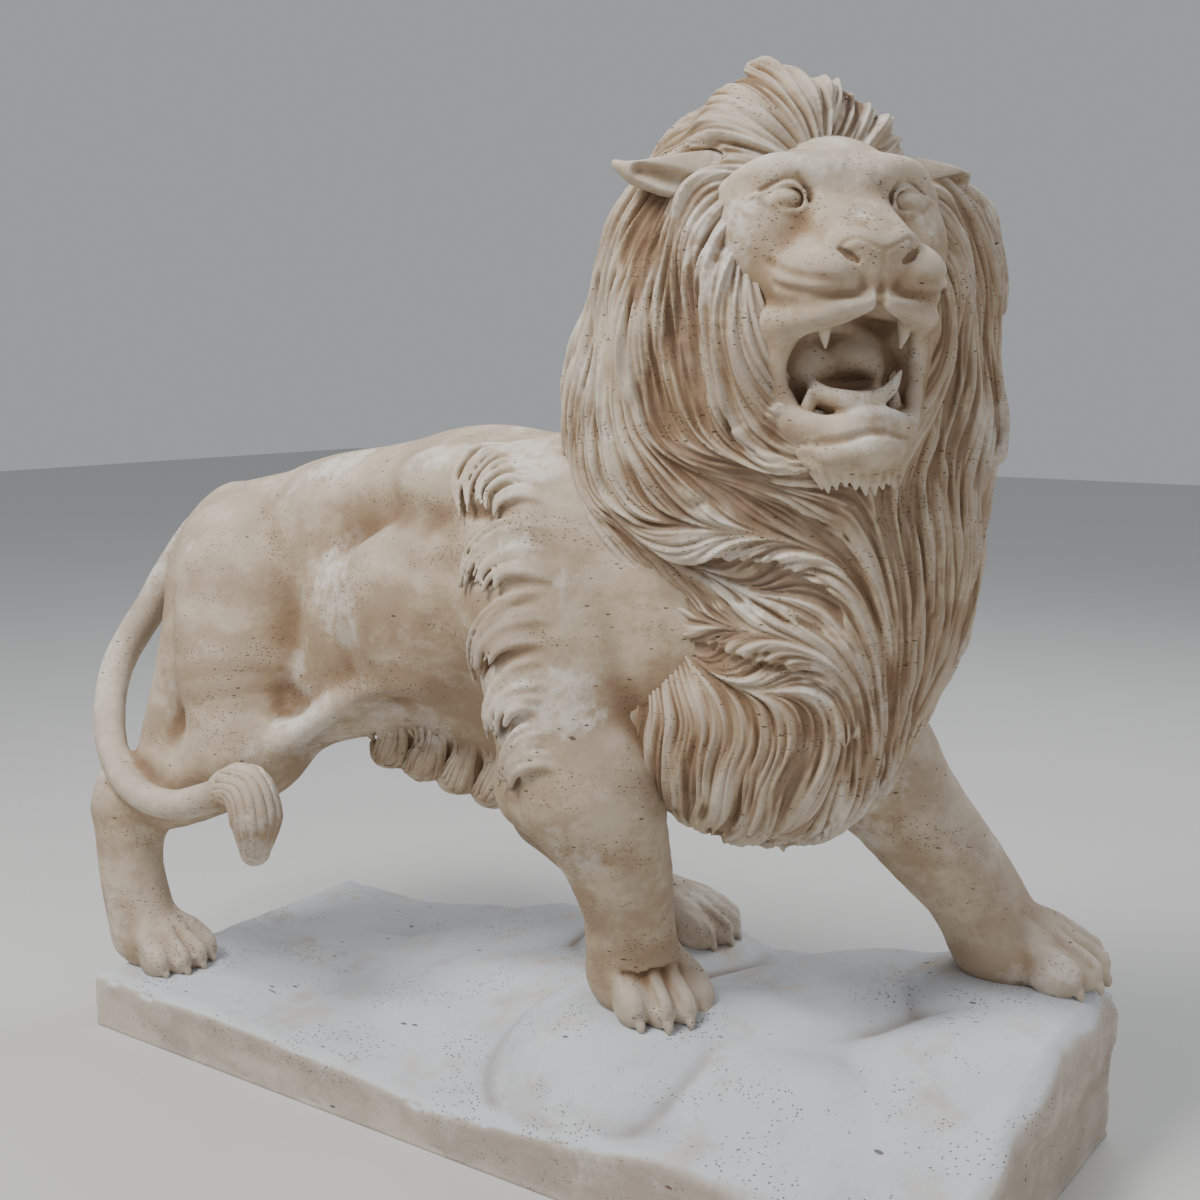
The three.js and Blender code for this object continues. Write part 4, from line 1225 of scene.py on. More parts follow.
    def lips(self) -> list[Form]:
        """The lips, the chin below them and the groove between the two.

        Returns:
            Its forms.
        """
        rims = [
            limb([(11.6, -1.6, -16.4, 0.8), (9.6, -4.6, -17.8, 0.9), (6.2, -8.2, -18.8, 1.0),
                  (3.4, -10, -20, 1.05), (1.6, -11.0, -22.6, 1.1), (0.8, -10.8, -25.8, 1.1),
                  (0.6, -9.6, -29, 1.1)], HEAD, 1.2),
            limb([(11.6, 1.6, -16.4, 0.8), (9.6, 4.6, -17.6, 0.9), (6.6, 7.6, -18.6, 1.0),
                  (4.4, 9, -20.4, 1.0), (3.2, 9.6, -24, 1.0), (2.8, 9.2, -28.4, 1.0)], HEAD, 1.2),
            limb([(0.6, -8, -32.8, 1.8), (3.0, -5.0, -34, 2.3), (4.8, -2.4, -33.8, 2.5),
                  (5.6, 0.6, -33.4, 2.6), (5.2, 3.6, -33.6, 2.4), (3.8, 6.8, -33.2, 2.0)], HEAD, 1.5),
            limb([(0.4, -9.6, -28.4, 1.2), (1.0, -8.2, -31.2, 1.4), (2.8, -5.4, -33.0, 1.4),
                  (4.8, -3.0, -32.2, 1.3), (6.3, -0.8, -31.2, 1.25), (7.0, 1.6, -30.9, 1.2),
                  (6.6, 4.2, -31.4, 1.25), (5.0, 6.8, -32.0, 1.25), (3.6, 8.6, -30.6, 1.1),
                  (2.9, 9.2, -28.0, 1.0)], HEAD, 1.0),
            egg((3.4, 0.8, -35.7), (4.7, 5.6, 2.8), HEAD, blend=1.2),
        ]
        chin = Relief([*self.skull(), *rims[2:]])
        rims.append(chin.line([(2.6, -7.6, -34.2, 0.2), (5.4, -5.0, -35.0, 0.5), (7.6, -2.6, -34.2, 0.6),
                               (8.6, -0.4, -33.3, 0.6), (8.8, 2.0, -33.2, 0.6), (8.0, 4.6, -33.8, 0.5),
                               (6.2, 7.0, -34.2, 0.2)], HEAD, 0.1, 0.7))
        return rims

    def inside(self) -> list[Form]:
        """The canines and the tongue.

        Returns:
            Its forms.
        """
        return [
            *both_sides(lambda s: [
                limb([(6.8, s * 6.0, -17.8, 1.1), (6.6, s * 5.9, -19.8, 0.8), (6.1, s * 5.6, -21.6, 0.25)],
                     HEAD, 0.4),
                limb([(1.6, s * 6.6, -31.4, 1.1), (2.1, s * 6.7, -29.4, 0.85), (2.7, s * 6.6, -27.5, 0.25)],
                     HEAD, 0.3),
            ]),
            egg((-5, -4.6, -24.8), (4.8, 4.4, 5), HEAD, blend=2.2),
            egg((-3.4, 2.6, -23.6), (5.0, 4.4, 4.8), HEAD, blend=2.2),
            egg((-1.4, -0.2, -28), (6.4, 5.8, 2.6), HEAD, (0, -8, 0), 2),
            limb([(-0.6, -5.8, -25.4, 0.5), (2.0, -4.9, -27.0, 1.0), (4.4, -2.4, -28.3, 1.2),
                  (5.4, 0.2, -28.7, 1.2), (6.0, 2.8, -28.2, 1.1), (6.2, 4.4, -26.9, 0.9),
                  (6.6, 5.4, -25.0, 0.35)], HEAD, 1.6),
            egg((1.6, 0.2, -25.9), (4.6, 4.4, 1.5), HEAD, (0, 4, 0), 1.6, True),
        ]

    def face(self) -> list[Form]:
        """The skull, the muzzle, the eyes and the open mouth."""
        return [*self.skull(), *self.mouth(), *self.lips(), *self.marks(), *self.eye(-1), *self.eye(1),
                *self.inside(), *self.beard()]

    def ears(self) -> list[Form]:
        """The ears, held flat and out, hollow below.

        Returns:
            Its forms.
        """
        forms: list[Form] = []
        for s, out in ((-1, 1.0), (1, 0.9)):
            forms += [
                limb([(-11, s * 13, 3.6, 4.4), (-11.6, s * 18 * out, 4.4, 3.9),
                      (-12.6, s * 22.5 * out, 5.2, 3.6), (-14.2, s * 26 * out, 6.0, 2.9),
                      (-15.4, s * 28.6 * out, 6.8, 1.4)], HEAD, 1.5),
                limb([(-7.4, s * 15.5, 1.6, 0.9), (-8.0, s * 19 * out, 2.0, 1.9),
                      (-9.2, s * 23 * out, 3.2, 1.9), (-11.6, s * 27 * out, 5.0, 1.1)], HEAD, 0.5, True),
                egg((-12.4, s * 20 * out, 10.6), (8, 12, 3.2), HEAD, (0, 0, -s * 12), 0.8, True),
            ]
        return forms


@dataclass
class Wire:
    """A shader socket that takes part in sums."""

    bench: "Bench"
    socket: bpy.types.NodeSocket

    def sum(self, operation: str, other: "Wire | float", swap: bool = False) -> "Wire":
        """A Math node of this and another value.

        Args:
            operation: the node's operation.
            other: the other value.
            swap: whether the other comes first.

        Returns:
            Its result.
        """
        pair = (other, self) if swap else (self, other)
        node = self.bench.node("ShaderNodeMath", {"operation": operation}, dict(enumerate(pair)))
        return Wire(self.bench, node.outputs[0])

    def __add__(self, other: "Wire | float") -> "Wire":
        """This and another value added."""
        return self.sum("ADD", other)

    def __sub__(self, other: "Wire | float") -> "Wire":
        """Another value taken from this one."""
        return self.sum("SUBTRACT", other)

    def __mul__(self, other: "Wire | float") -> "Wire":
        """This and another value multiplied."""
        return self.sum("MULTIPLY", other)

    def __rsub__(self, other: float) -> "Wire":
        """This value taken from a number."""
        return self.sum("SUBTRACT", other, True)

    __radd__ = __add__
    __rmul__ = __mul__

    def step(self, low: float, high: float) -> "Wire":
        """A soft step from 0 at low to 1 at high.

        Args:
            low: where it starts.
            high: where it ends.

        Returns:
            Its result.
        """
        node = self.bench.node("ShaderNodeMapRange", {"interpolation_type": "SMOOTHSTEP"},
                               {"Value": self, "From Min": low, "From Max": high})
        return Wire(self.bench, node.outputs["Result"])


class Bench:
    """A material's node tree, with short ways to add to it."""

    def __init__(self, name: str) -> None:
        """Makes an empty material of a name."""
        self.material = bpy.data.materials.new(name)
        self.material.use_nodes = True
        self.tree = self.material.node_tree
        self.tree.nodes.clear()
        self.place = self.node("ShaderNodeTexCoord").outputs["Object"]

    def node(self, kind: str, settings: dict | None = None, inputs: dict | None = None) -> bpy.types.Node:
        """Adds a node.

        Args:
            kind: the node's type.
            settings: its properties, set first.
            inputs: values or links for its sockets, by name or number.

        Returns:
            The node.
        """
        node = self.tree.nodes.new(kind)
        for key, value in (settings or {}).items():
            setattr(node, key, value)
        for key, value in (inputs or {}).items():
            source = value.socket if isinstance(value, Wire) else value
            if isinstance(source, bpy.types.NodeSocket):
                self.tree.links.new(source, node.inputs[key])
            else:
                node.inputs[key].default_value = source
        return node

    def noise(self, scale: float, detail: float = 3.0, roughness: float = 0.5,
              place: bpy.types.NodeSocket | None = None) -> Wire:
        """Noise over the place, from 0 to 1.

        Args:
            scale: lumps in a metre.
            detail: how many finer noises.
            roughness: how strong they are.
            place: where it is read, if not over the plain place.

        Returns:
            Its value.
        """
        node = self.node("ShaderNodeTexNoise", {}, {"Vector": place or self.place, "Scale": scale,
                                                     "Detail": detail, "Roughness": roughness})
        return Wire(self, node.outputs["Fac"])

    def cells(self, scale: float, place: bpy.types.NodeSocket) -> Wire:
        """Distance to the nearest of many scattered points.

        Args:
            scale: points in a metre.
            place: where it is read.

        Returns:
            Its value.
        """
        node = self.node("ShaderNodeTexVoronoi", {}, {"Vector": place, "Scale": scale, "Randomness": 1.0})
        return Wire(self, node.outputs["Distance"])

    def stretched(self, scale: Place) -> bpy.types.NodeSocket:
        """The place, drawn out along each axis."""
        return self.node("ShaderNodeMapping", {}, {"Vector": self.place, "Scale": scale}).outputs[0]

    def attribute(self, name: str) -> Wire:
        """A number kept on the mesh."""
        return Wire(self, self.node("ShaderNodeAttribute", {"attribute_name": name}).outputs["Fac"])

    def mix(self, factor: Wire, a: Colour | bpy.types.NodeSocket, b: Colour) -> bpy.types.NodeSocket:
        """Two colours mixed.

        Args:
            factor: how much of the second.
            a: the first.
            b: the second.

        Returns:
            The mixed colour.
        """
        node = self.node("ShaderNodeMix", {"data_type": "RGBA"}, {0: factor, 6: a, 7: b})
        return node.outputs[2]


class Part(Enum):
    """The parts of the carving, each with its own dirt, dust and painted light and shade."""

    SKIN = "skin"
    HAIR = "hair"
    GROUND = "ground"


@dataclass(frozen=True)
class Travertine:
    """The finish of carved travertine: mottled and pitted, with painted light on its tops, dirt and painted
    shade in its hollows, and painted shade in its pits.
    """

    part: Part
    pale: Colour = (0.55, 0.445, 0.32, 1)
    warm: Colour = (0.36, 0.255, 0.16, 1)
    chalk_and_highlight: Colour = (0.74, 0.705, 0.64, 1)
    dirt_and_shade: Colour = (0.20, 0.12, 0.068, 1)
    dust_and_skylight: Colour = (0.60, 0.65, 0.715, 1)
    pit_shade: Colour = (0.075, 0.045, 0.028, 1)
    bump_strength: float = 0.7
    bump_height: float = 0.003
    smoothest: float = 0.78
    shine: float = 0.25

    def material(self) -> bpy.types.Material:
        """Builds the material.

        Returns:
            The material.
        """
        bench = Bench(f"travertine_{self.part.value}")
        recess = bench.attribute("recess")
        geometry = bench.node("ShaderNodeNewGeometry")
        facing = Wire(bench, bench.node("ShaderNodeSeparateXYZ", {},
                                        {0: geometry.outputs["Normal"]}).outputs["Z"])
        bands = bench.stretched((1, 1, 2.4))
        mottle = bench.noise(3.2, 5, 0.62, bands)
        cloud = bench.noise(11, 4, 0.6)
        speck = bench.noise(90, 3, 0.7)
        tone = (mottle * 0.75 + cloud * 0.5 + speck * 0.12).step(0.53, 0.77)
        colour = bench.mix(tone, self.pale, self.warm)
        patches = bench.noise(4.3, 6, 0.66).step(0.53, 0.62) * bench.noise(38, 4, 0.7).step(0.34, 0.55)
        # Upward faces turn towards chalk: painted light on the tops, which the sky lights more. The chalk
        # patches are real, but they are painted stronger on top.
        upward = facing.step(-0.3, 0.9)
        colour = bench.mix(patches * (0.35 + 0.5 * upward), colour, self.chalk_and_highlight)
        colour = bench.mix(upward * 0.3 * (1 - recess.step(0.45, 0.6)), colour, self.chalk_and_highlight)
        if self.part is Part.GROUND:
            # On the ground, upward faces turn bluish white: partly dust, partly painted sky light falling on
            # the tops.
            top = facing.step(0.3, 0.75) * bench.noise(7, 4, 0.6).step(0.2, 0.5)
            colour = bench.mix(0.2 * (1 - top) + top * 0.88, colour, self.dust_and_skylight)
        # Hollows turn towards a dark brown: partly dirt in them, partly painted shade where less light
        # reaches.
        deep = recess.step(0.5, 0.64)
        stain_and_shade = 0.42 if self.part is Part.HAIR else 0.6
        colour = bench.mix(deep * (stain_and_shade + 0.5 * cloud), colour, self.dirt_and_shade)
        # Raised edges turn towards chalk: partly wear, partly a painted highlight on the exposed forms.
        wear_and_painted_light = 1 - recess.step(0.3, 0.47)
        colour = bench.mix(wear_and_painted_light * 0.22, colour, self.chalk_and_highlight)
        if self.part is Part.HAIR:
            # The grooves between the combed strands are darkened: painted shade in the grooves.
            strand = bench.attribute("strand").step(-0.1, -1.5)
            colour = bench.mix(strand * 0.4, colour, self.dirt_and_shade)

        where = bench.noise(6, 3, 0.6, bench.stretched((1, 1, 3))).step(0.44, 0.62)
        fine = 1 - bench.cells(135, bench.stretched((0.8, 0.8, 1.7))).step(0.10, 0.30)
        size = bench.noise(25, 2) * 0.2
        if self.part is Part.GROUND:
            holes = bench.cells(30, bench.stretched((0.45, 1.3, 1.2)))
        else:
            holes = bench.cells(38, bench.stretched((0.7, 0.7, 2.0)))
        coarse = 1 - (holes + size).step(0.13, 0.25)
        pits = (fine * where * 0.9 + coarse * bench.noise(9, 2).step(0.46, 0.58)).step(0.22, 0.8)
        # Pits are coloured near black: painted shade inside the holes, which are only bumped, not cut.
        colour = bench.mix(pits * (0.5 + 0.5 * cloud), colour, self.pit_shade)
        grain = bench.noise(260, 4, 0.75) * 0.25 + speck * 0.5 + bench.noise(26, 4, 0.6) * 0.8
        bump = bench.node("ShaderNodeBump", {}, {
            "Strength": self.bump_strength, "Distance": self.bump_height, "Height": grain - pits * 1.6,
        })
        rough = self.smoothest + 0.16 * cloud
        shader = bench.node("ShaderNodeBsdfPrincipled", {}, {
            "Base Color": colour, "Roughness": rough, "Normal": bump.outputs["Normal"],
            "Specular IOR Level": self.shine,
        })
        bench.node("ShaderNodeOutputMaterial", {}, {"Surface": shader.outputs["BSDF"]})
        return bench.material


@dataclass
class Net:
    """A net of points, in shares, and four-sided faces."""

    points: Array
    faces: Array

    def normals(self) -> Array:
        """Outward direction at each point.

        Returns:
            One row for each point.
        """
        a, b, c, d = (self.points[self.faces[:, k]] for k in range(4))
        across = np.cross(c - a, d - b)
        total = np.empty_like(self.points)
        for axis in range(3):
            weights = np.repeat(across[:, axis], 4)
            total[:, axis] = np.bincount(self.faces.ravel(), weights, len(self.points))
        return total / np.maximum(np.linalg.norm(total, axis=1), 1e-9)[:, None]

    def cut(self, wanted: Array) -> tuple["Net", Array]:
        """The faces that are wanted, and which points they keep.

        Args:
            wanted: one flag for each face.

        Returns:
            The smaller net and its points' numbers in this one.
        """
        faces = self.faces[wanted]
        kept, flat = np.unique(faces, return_inverse=True)
        return Net(self.points[kept], flat.reshape(-1, 4)), kept

    def piece(self, name: str, values: dict[str, Array], material: bpy.types.Material,
              shading: Array | None = None) -> bpy.types.Object:
        """Makes the net an object in metres.

        Args:
            name: of the object.
            values: numbers to keep on its points, by name.
            material: its finish.
            shading: the direction that each point is shaded by, where a neighbouring piece shares it.

        Returns:
            The object.
        """
        mesh = bpy.data.meshes.new(name)
        mesh.vertices.add(len(self.points))
        places = self.points * SHARE + np.array([0, 0, PLINTH_THICKNESS])
        mesh.vertices.foreach_set("co", places.astype(np.float32).ravel())
        mesh.loops.add(self.faces.size)
        mesh.loops.foreach_set("vertex_index", self.faces.astype(np.int32).ravel())
        mesh.polygons.add(len(self.faces))
        mesh.polygons.foreach_set("loop_start", np.arange(0, self.faces.size, 4, dtype=np.int32))
        mesh.update(calc_edges=True)
        mesh.validate()
        mesh.shade_smooth()
        for key, numbers in values.items():
            layer = mesh.attributes.new(key, "FLOAT", "POINT")
            layer.data.foreach_set("value", numbers.astype(np.float32))
        if shading is not None:
            mesh.normals_split_custom_set_from_vertices(shading.tolist())
        mesh.materials.append(material)
        piece = bpy.data.objects.new(name, mesh)
        bpy.context.scene.collection.objects.link(piece)
        return piece


def plain(piece: bpy.types.Object) -> bpy.types.Object:
    """Turns a piece's modifiers into its mesh.

    Args:
        piece: the object.

    Returns:
        The same object.
    """
    graph = bpy.context.evaluated_depsgraph_get()
    mesh = bpy.data.meshes.new_from_object(piece.evaluated_get(graph))
    mesh.name = piece.name
    piece.modifiers.clear()
    piece.data = mesh
    return piece


def thinned(piece: bpy.types.Object) -> bpy.types.Object:
    """Thins a piece to the triangle limit.

    Args:
        piece: the object.

    Returns:
        The same object.
    """
    count = 2 * len(piece.data.polygons)
    if count > TRIANGLE_LIMIT:
        modifier = piece.modifiers.new("thin", "DECIMATE")
        modifier.ratio = TRIANGLE_LIMIT / count
        plain(piece)
    return piece


def kept(piece: bpy.types.Object) -> bpy.types.Object:
    """Attaches a piece to its body, hides the solid, and reports it.

    Args:
        piece: the object.

    Returns:
        The same object.
    """
    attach(piece, "root")
    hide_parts(SOLID)
    LOG.info("%s: %d faces", piece.name, len(piece.data.polygons))
    return piece


@dataclass
class Sculpture:
    """The lion in stone: its body, head and mane."""

    lion: Lion
    mane: Mane
    flow: Flow
    lattice: Lattice
    quick: bool
    body_cell: float = 0.45
    head_cell: float = 0.245
    hair_cell: float = 0.25
    parting: float = -2.0

    def wear_and_painted_light(self, block: Block, net: Net, radius: float) -> Array:
        """How deep each point lies among its surroundings: 0.5 on a flat face, more in a hollow. The finish
        turns it into dirt and painted shade in hollows, and wear and painted highlights on edges.
        """
        return block.sample(block.blurred(radius), net.points)

    def body(self, finish: bpy.types.Material) -> bpy.types.Object:
        """Carves the body, legs and tail.

        Args:
            finish: its material.

        Returns:
            The piece.
        """
        block = Block((-113, -41, -2), (90, 46, 113), 0.9 if self.quick else self.body_cell)
        block.add(self.lion.body())
        block.add(Tufts(self.lion, self.mane).shoulders())
        net = Net(*block.net())
        rough = self.lattice.grain(net.points, 9, 4) * 0.12
        net.points += net.normals() * rough[:, None]
        recess = 0.4 * self.wear_and_painted_light(block, net, 1.6) + 0.6 * self.wear_and_painted_light(block, net, 4.2)
        piece = net.piece("lion_body", {"recess": recess}, finish)
        return kept(thinned(piece))

    def head(self, finish: bpy.types.Material) -> bpy.types.Object:
        """Carves the face and the ears.

        Args:
            finish: its material.

        Returns:
            The piece.
        """
        block = Block((24, -46, 100), (84, 24, 162), 0.45 if self.quick else self.head_cell)
        block.add([*self.lion.face(), *self.lion.ears()])
        net = Net(*block.net())
        rough = self.lattice.grain(net.points, 4, 3) * 0.05
        net.points += net.normals() * rough[:, None]
        recess = self.wear_and_painted_light(block, net, 1.1)
        piece = net.piece("lion_head", {"recess": recess}, finish)
        return kept(thinned(piece))

    def hair(self, finish: bpy.types.Material) -> list[bpy.types.Object]:
        """Carves the mane and combs its strands.

        Args:
            finish: its material.

        Returns:
            Its six pieces.
        """
        block = Block((-3, -42, 36), (84, 46, 172), 0.6 if self.quick else self.hair_cell)
        block.add(self.mane.mass())
        block.add(Locks(self.flow).lay())
        block.soften()
        block.add([*self.mane.ear_room(), *self.lion.mouth()])
        net = Net(*block.net())
        waves = self.flow.streaks(net.points, self.lattice, cell=3.2, reach=18)
        bundles = self.flow.streaks(net.points, self.lattice, cell=1.05, reach=11)
        strands = self.flow.streaks(net.points, self.lattice, cell=0.5, reach=8)
        height = 0.27 * waves + 0.22 * bundles + 0.26 * strands
        net.points += net.normals() * height[:, None]
        # Raised waves and bundles count as less deep and their grooves as deeper, so the finish paints light
        # on the ridges and shade in the grooves.
        recess = self.wear_and_painted_light(block, net, 1.3) - 0.02 * waves - 0.03 * bundles
        shading = net.normals()
        middle = net.points[net.faces].mean(axis=1)
        pieces = []
        for side, half in (("near", middle[:, 1] <= self.parting), ("far", middle[:, 1] > self.parting)):
            cuts = np.quantile(middle[half, 2], (1 / 3, 2 / 3))
            band = np.searchsorted(cuts, middle[:, 2])
            for number, level in enumerate(("low", "middle", "high")):
                part, points = net.cut(half & (band == number))
                values = {"recess": recess[points], "strand": strands[points]}
                piece = part.piece(f"mane_{side}_{level}", values, finish, shading[points])
                pieces.append(kept(piece))
        return pieces


@dataclass
class Sweep:
    """Sweeps strands along paths with Geometry Nodes.

    Each point of a path carries a width and an outward way.
    """

    flatness: float = 0.62
    sides: int = 10

    def tree(self) -> bpy.types.NodeTree:
        """Builds the node tree.

        Returns:
            The tree.
        """
        tree = bpy.data.node_groups.new("strand_sweep", "GeometryNodeTree")
        tree.interface.new_socket("Paths", in_out="INPUT", socket_type="NodeSocketGeometry")
        for name, kind in (("Flatness", "NodeSocketFloat"), ("Sides", "NodeSocketInt"),
                           ("Finish", "NodeSocketMaterial")):
            tree.interface.new_socket(name, in_out="INPUT", socket_type=kind)
        tree.interface.new_socket("Strands", in_out="OUTPUT", socket_type="NodeSocketGeometry")

        def node(kind: str, settings: dict, inputs: dict) -> bpy.types.Node:
            """Adds a node with its settings and inputs.

            Args:
                kind: the node's type.
                settings: its properties, set first.
                inputs: values or links for its sockets.

            Returns:
                The node.
            """
            made = tree.nodes.new(kind)
            for key, value in settings.items():
                setattr(made, key, value)
            for key, value in inputs.items():
                if isinstance(value, bpy.types.NodeSocket):
                    tree.links.new(value, made.inputs[key])
                else:
                    made.inputs[key].default_value = value
            return made

        given = tree.nodes.new("NodeGroupInput").outputs
        outward = node("GeometryNodeInputNamedAttribute", {"data_type": "FLOAT_VECTOR"}, {"Name": "outward"})
        width = node("GeometryNodeInputNamedAttribute", {"data_type": "FLOAT"}, {"Name": "width"})
        curve = node("GeometryNodeMeshToCurve", {}, {"Mesh": given["Paths"]})
        turned = node("GeometryNodeSetCurveNormal", {"mode": "FREE"},
                      {"Curve": curve.outputs["Curve"], "Normal": outward.outputs["Attribute"]})
        circle = node("GeometryNodeCurvePrimitiveCircle", {}, {"Resolution": given["Sides"], "Radius": 1.0})
        squash = node("ShaderNodeCombineXYZ", {}, {"X": given["Flatness"], "Y": 1.0, "Z": 1.0})
        profile = node("GeometryNodeTransform", {},
                       {"Geometry": circle.outputs["Curve"], "Scale": squash.outputs[0]})
        swept = node("GeometryNodeCurveToMesh", {}, {
            "Curve": turned.outputs["Curve"], "Profile Curve": profile.outputs["Geometry"],
            "Scale": width.outputs["Attribute"], "Fill Caps": True})
        real = node("GeometryNodeRealizeInstances", {}, {"Geometry": swept.outputs["Mesh"]})
        finished = node("GeometryNodeSetMaterial", {},
                        {"Geometry": real.outputs["Geometry"], "Material": given["Finish"]})
        out = tree.nodes.new("NodeGroupOutput")
        tree.links.new(finished.outputs["Geometry"], out.inputs["Strands"])
        return tree

    def piece(self, name: str, paths: list[Array], finish: bpy.types.Material) -> bpy.types.Object:
        """Sweeps paths into a piece.

        Args:
            name: of the piece.
            paths: rows of place, outward way, width and recess for each strand, in shares.
            finish: its material.

        Returns:
            The piece, as a plain mesh.
        """
        rows = np.vstack(paths)
        ends = np.cumsum([len(path) for path in paths])
        links = [(i, i + 1) for i in range(len(rows) - 1) if i + 1 not in ends]
        mesh = bpy.data.meshes.new(name)
        mesh.from_pydata(rows[:, :3] * SHARE + np.array([0, 0, PLINTH_THICKNESS]), links, [])
        outward = mesh.attributes.new("outward", "FLOAT_VECTOR", "POINT")
        outward.data.foreach_set("vector", rows[:, 3:6].ravel())
        mesh.attributes.new("width", "FLOAT", "POINT").data.foreach_set("value", rows[:, 6] * SHARE)
        mesh.attributes.new("recess", "FLOAT", "POINT").data.foreach_set("value", rows[:, 7])
        piece = bpy.data.objects.new(name, mesh)
        bpy.context.scene.collection.objects.link(piece)
        tree = self.tree()
        modifier = piece.modifiers.new("strands", "NODES")
        modifier.node_group = tree
        given = {"Flatness": self.flatness, "Sides": self.sides, "Finish": finish}
        for item in tree.interface.items_tree:
            if item.item_type == "SOCKET" and item.in_out == "INPUT" and item.name in given:
                modifier[item.identifier] = given[item.name]
        plain(piece)
        piece.data.materials.clear()
        piece.data.materials.append(finish)
        return kept(piece)


def curl(root: Array, middle: Array, tip: Array) -> Array:
    """The line of a lock that bends at its middle.

    Args:
        root: where it starts.
        middle: where it bends.
        tip: where it ends.

    Returns:
        Points along it, one row each.
    """
    knots = np.array([root, (root + middle) / 2 + 0.12 * (middle - tip), middle,
                      (middle + tip) / 2 + 0.18 * (middle - root), tip])
    return rounded(np.column_stack([knots, np.ones(5)]), 3)[:, :3]


@dataclass
class Tufts:
    """Tufts of hair: behind the shoulders, under the belly and on the tail."""

    lion: Lion
    mane: Mane
    tail_strands: int = 15

    def fan(self, relief: Relief, upper: Array, lower: Array, count: int, width: float, lift: float,
            seed: int) -> list[Array]:
        """Strands between an upper and a lower edge, each a root, a middle and a tip.

        Args:
            relief: the surface they lie on.
            upper: three places on the fan's upper edge.
            lower: three places on its lower edge.
            count: how many strands.
            width: of a strand.
            lift: how far their middles stand off the surface.
            seed: of their small differences.

        Returns:
            The strands' rows.
        """
        rng = np.random.default_rng(seed)
        strands = []
        for i in range(count):
            u = (i + rng.uniform(-0.15, 0.15)) / max(count - 1, 1)
            root, middle, tip = (1 - u) * upper + u * lower
            root = root + rng.uniform(-0.1, 0.35) * (middle - root)
            middle = middle + rng.uniform(-0.6, 0.6, 3)
            tip = tip + rng.uniform(-1.3, 1.3, 3)
            strands.append(curl(root, middle, tip))
        length = len(strands[0])
        places, out = relief.settle(np.vstack(strands), 7)
        laid = (np.abs(relief.distance(places)) < 0.4).reshape(count, length).all(axis=1)
        t = np.tile(np.linspace(0, 1, length), count)
        swell = np.sin(np.pi * np.clip(0.12 + 0.88 * t, 0, 0.99)) ** 0.8
        layer = np.repeat(0.35 * (np.arange(count) % 2), length)
        arch = np.sin(np.pi * np.clip(0.05 + 0.85 * t, 0, 1))
        high = lift * (arch + layer) - 0.3 - 1.7 * (1 - smooth(t, 0, 0.55))
        places = places + out * high[:, None]
        wide = width * (0.12 + 0.88 * swell) * np.repeat(rng.uniform(0.6, 1.4, count), length)
        # Strand ends count as deeper and their middles as less deep: painted shade at the roots and tips,
        # painted light along the raised middles.
        recess = 0.56 - 0.16 * np.sin(np.pi * t)
        rows = np.column_stack([places, out, wide, recess])
        return list(rows.reshape(count, length, 8)[laid])

    def shoulders(self) -> list[Form]:
        """Crescents of tapering locks over each shoulder's hind edge, to be carved with the body.

        Returns:
            Their forms.
        """
        relief = Relief([*self.lion.trunk(), *self.lion.near_front_leg(), *self.lion.far_front_leg(),
                         *self.mane.mass()])
        crescents = (
            (((11, -13, 109), (-4.5, -14, 107), (-3.8, -21.5, 97)),
             ((17, -24, 98), (9.6, -23, 99.5), (6.4, -23.6, 96)), 9),
            (((17, -23, 96), (6.4, -25, 95), (-1.0, -26, 86)),
             ((20, -27, 87), (12.6, -28, 88.6), (8, -28, 85.4)), 8),
            (((20, -26.5, 85), (8.6, -28, 83), (0.2, -25.4, 70)),
             ((19, -28.4, 76), (13, -29.3, 77.5), (9, -27, 73.6)), 8),
            (((21, -29, 74), (11, -30, 72.5), (5.6, -29, 61.4)),
             ((19, -30, 66), (14.4, -30, 67.4), (11.6, -29.4, 63.8)), 7),
            (((21, -28, 64), (13.8, -29, 63), (9.2, -27, 53.4)),
             ((22, -29, 57), (17, -29, 58.5), (14, -27.4, 55)), 5),
        )
        rng = np.random.default_rng(20)
        forms: list[Form] = []
        for upper, lower, count in crescents:
            for side in (1, -0.96):
                flip = np.array([1, side, 1])
                ahead = 0.12 * (upper[1][0] - upper[2][0])
                hollow = []
                for u, radius in ((0.0, 0.5), (0.4, 1.3), (0.8, 0.6)):
                    place = ((1 - u) * np.array(upper[2]) + u * np.array(lower[2]) + ahead) * flip
                    hollow.append((*place, radius))
                forms.append(relief.line(hollow, blend=1.6))
                lines = []
                for i in range(count):
                    u = (i + rng.uniform(-0.2, 0.2)) / (count - 1)
                    root, middle, tip = ((1 - u) * np.array(upper) + u * np.array(lower)) * flip
                    root = root + np.array([rng.uniform(-3, 2), 0, rng.uniform(-1.2, 1.2)])
                    tip = middle + (tip - middle) * rng.uniform(0.8, 1.2)
                    lines.append(curl(root, middle, tip))
                places, out = relief.settle(np.vstack(lines), 6)
                t = np.tile(np.linspace(0, 1, len(lines[0])), count)
                lift = 1.0 * smooth(t, 0.25, 0.8) - 1.5 * (1 - smooth(t, 0, 0.55))
                wide = (1.2 - 0.8 * t ** 1.4) * np.repeat(rng.uniform(0.8, 1.15, count), len(lines[0]))
                rows = np.column_stack([places + out * lift[:, None], wide]).reshape(count, -1, 4)
                forms += [Limb(0.25, False, row) for row in rows]
        return forms

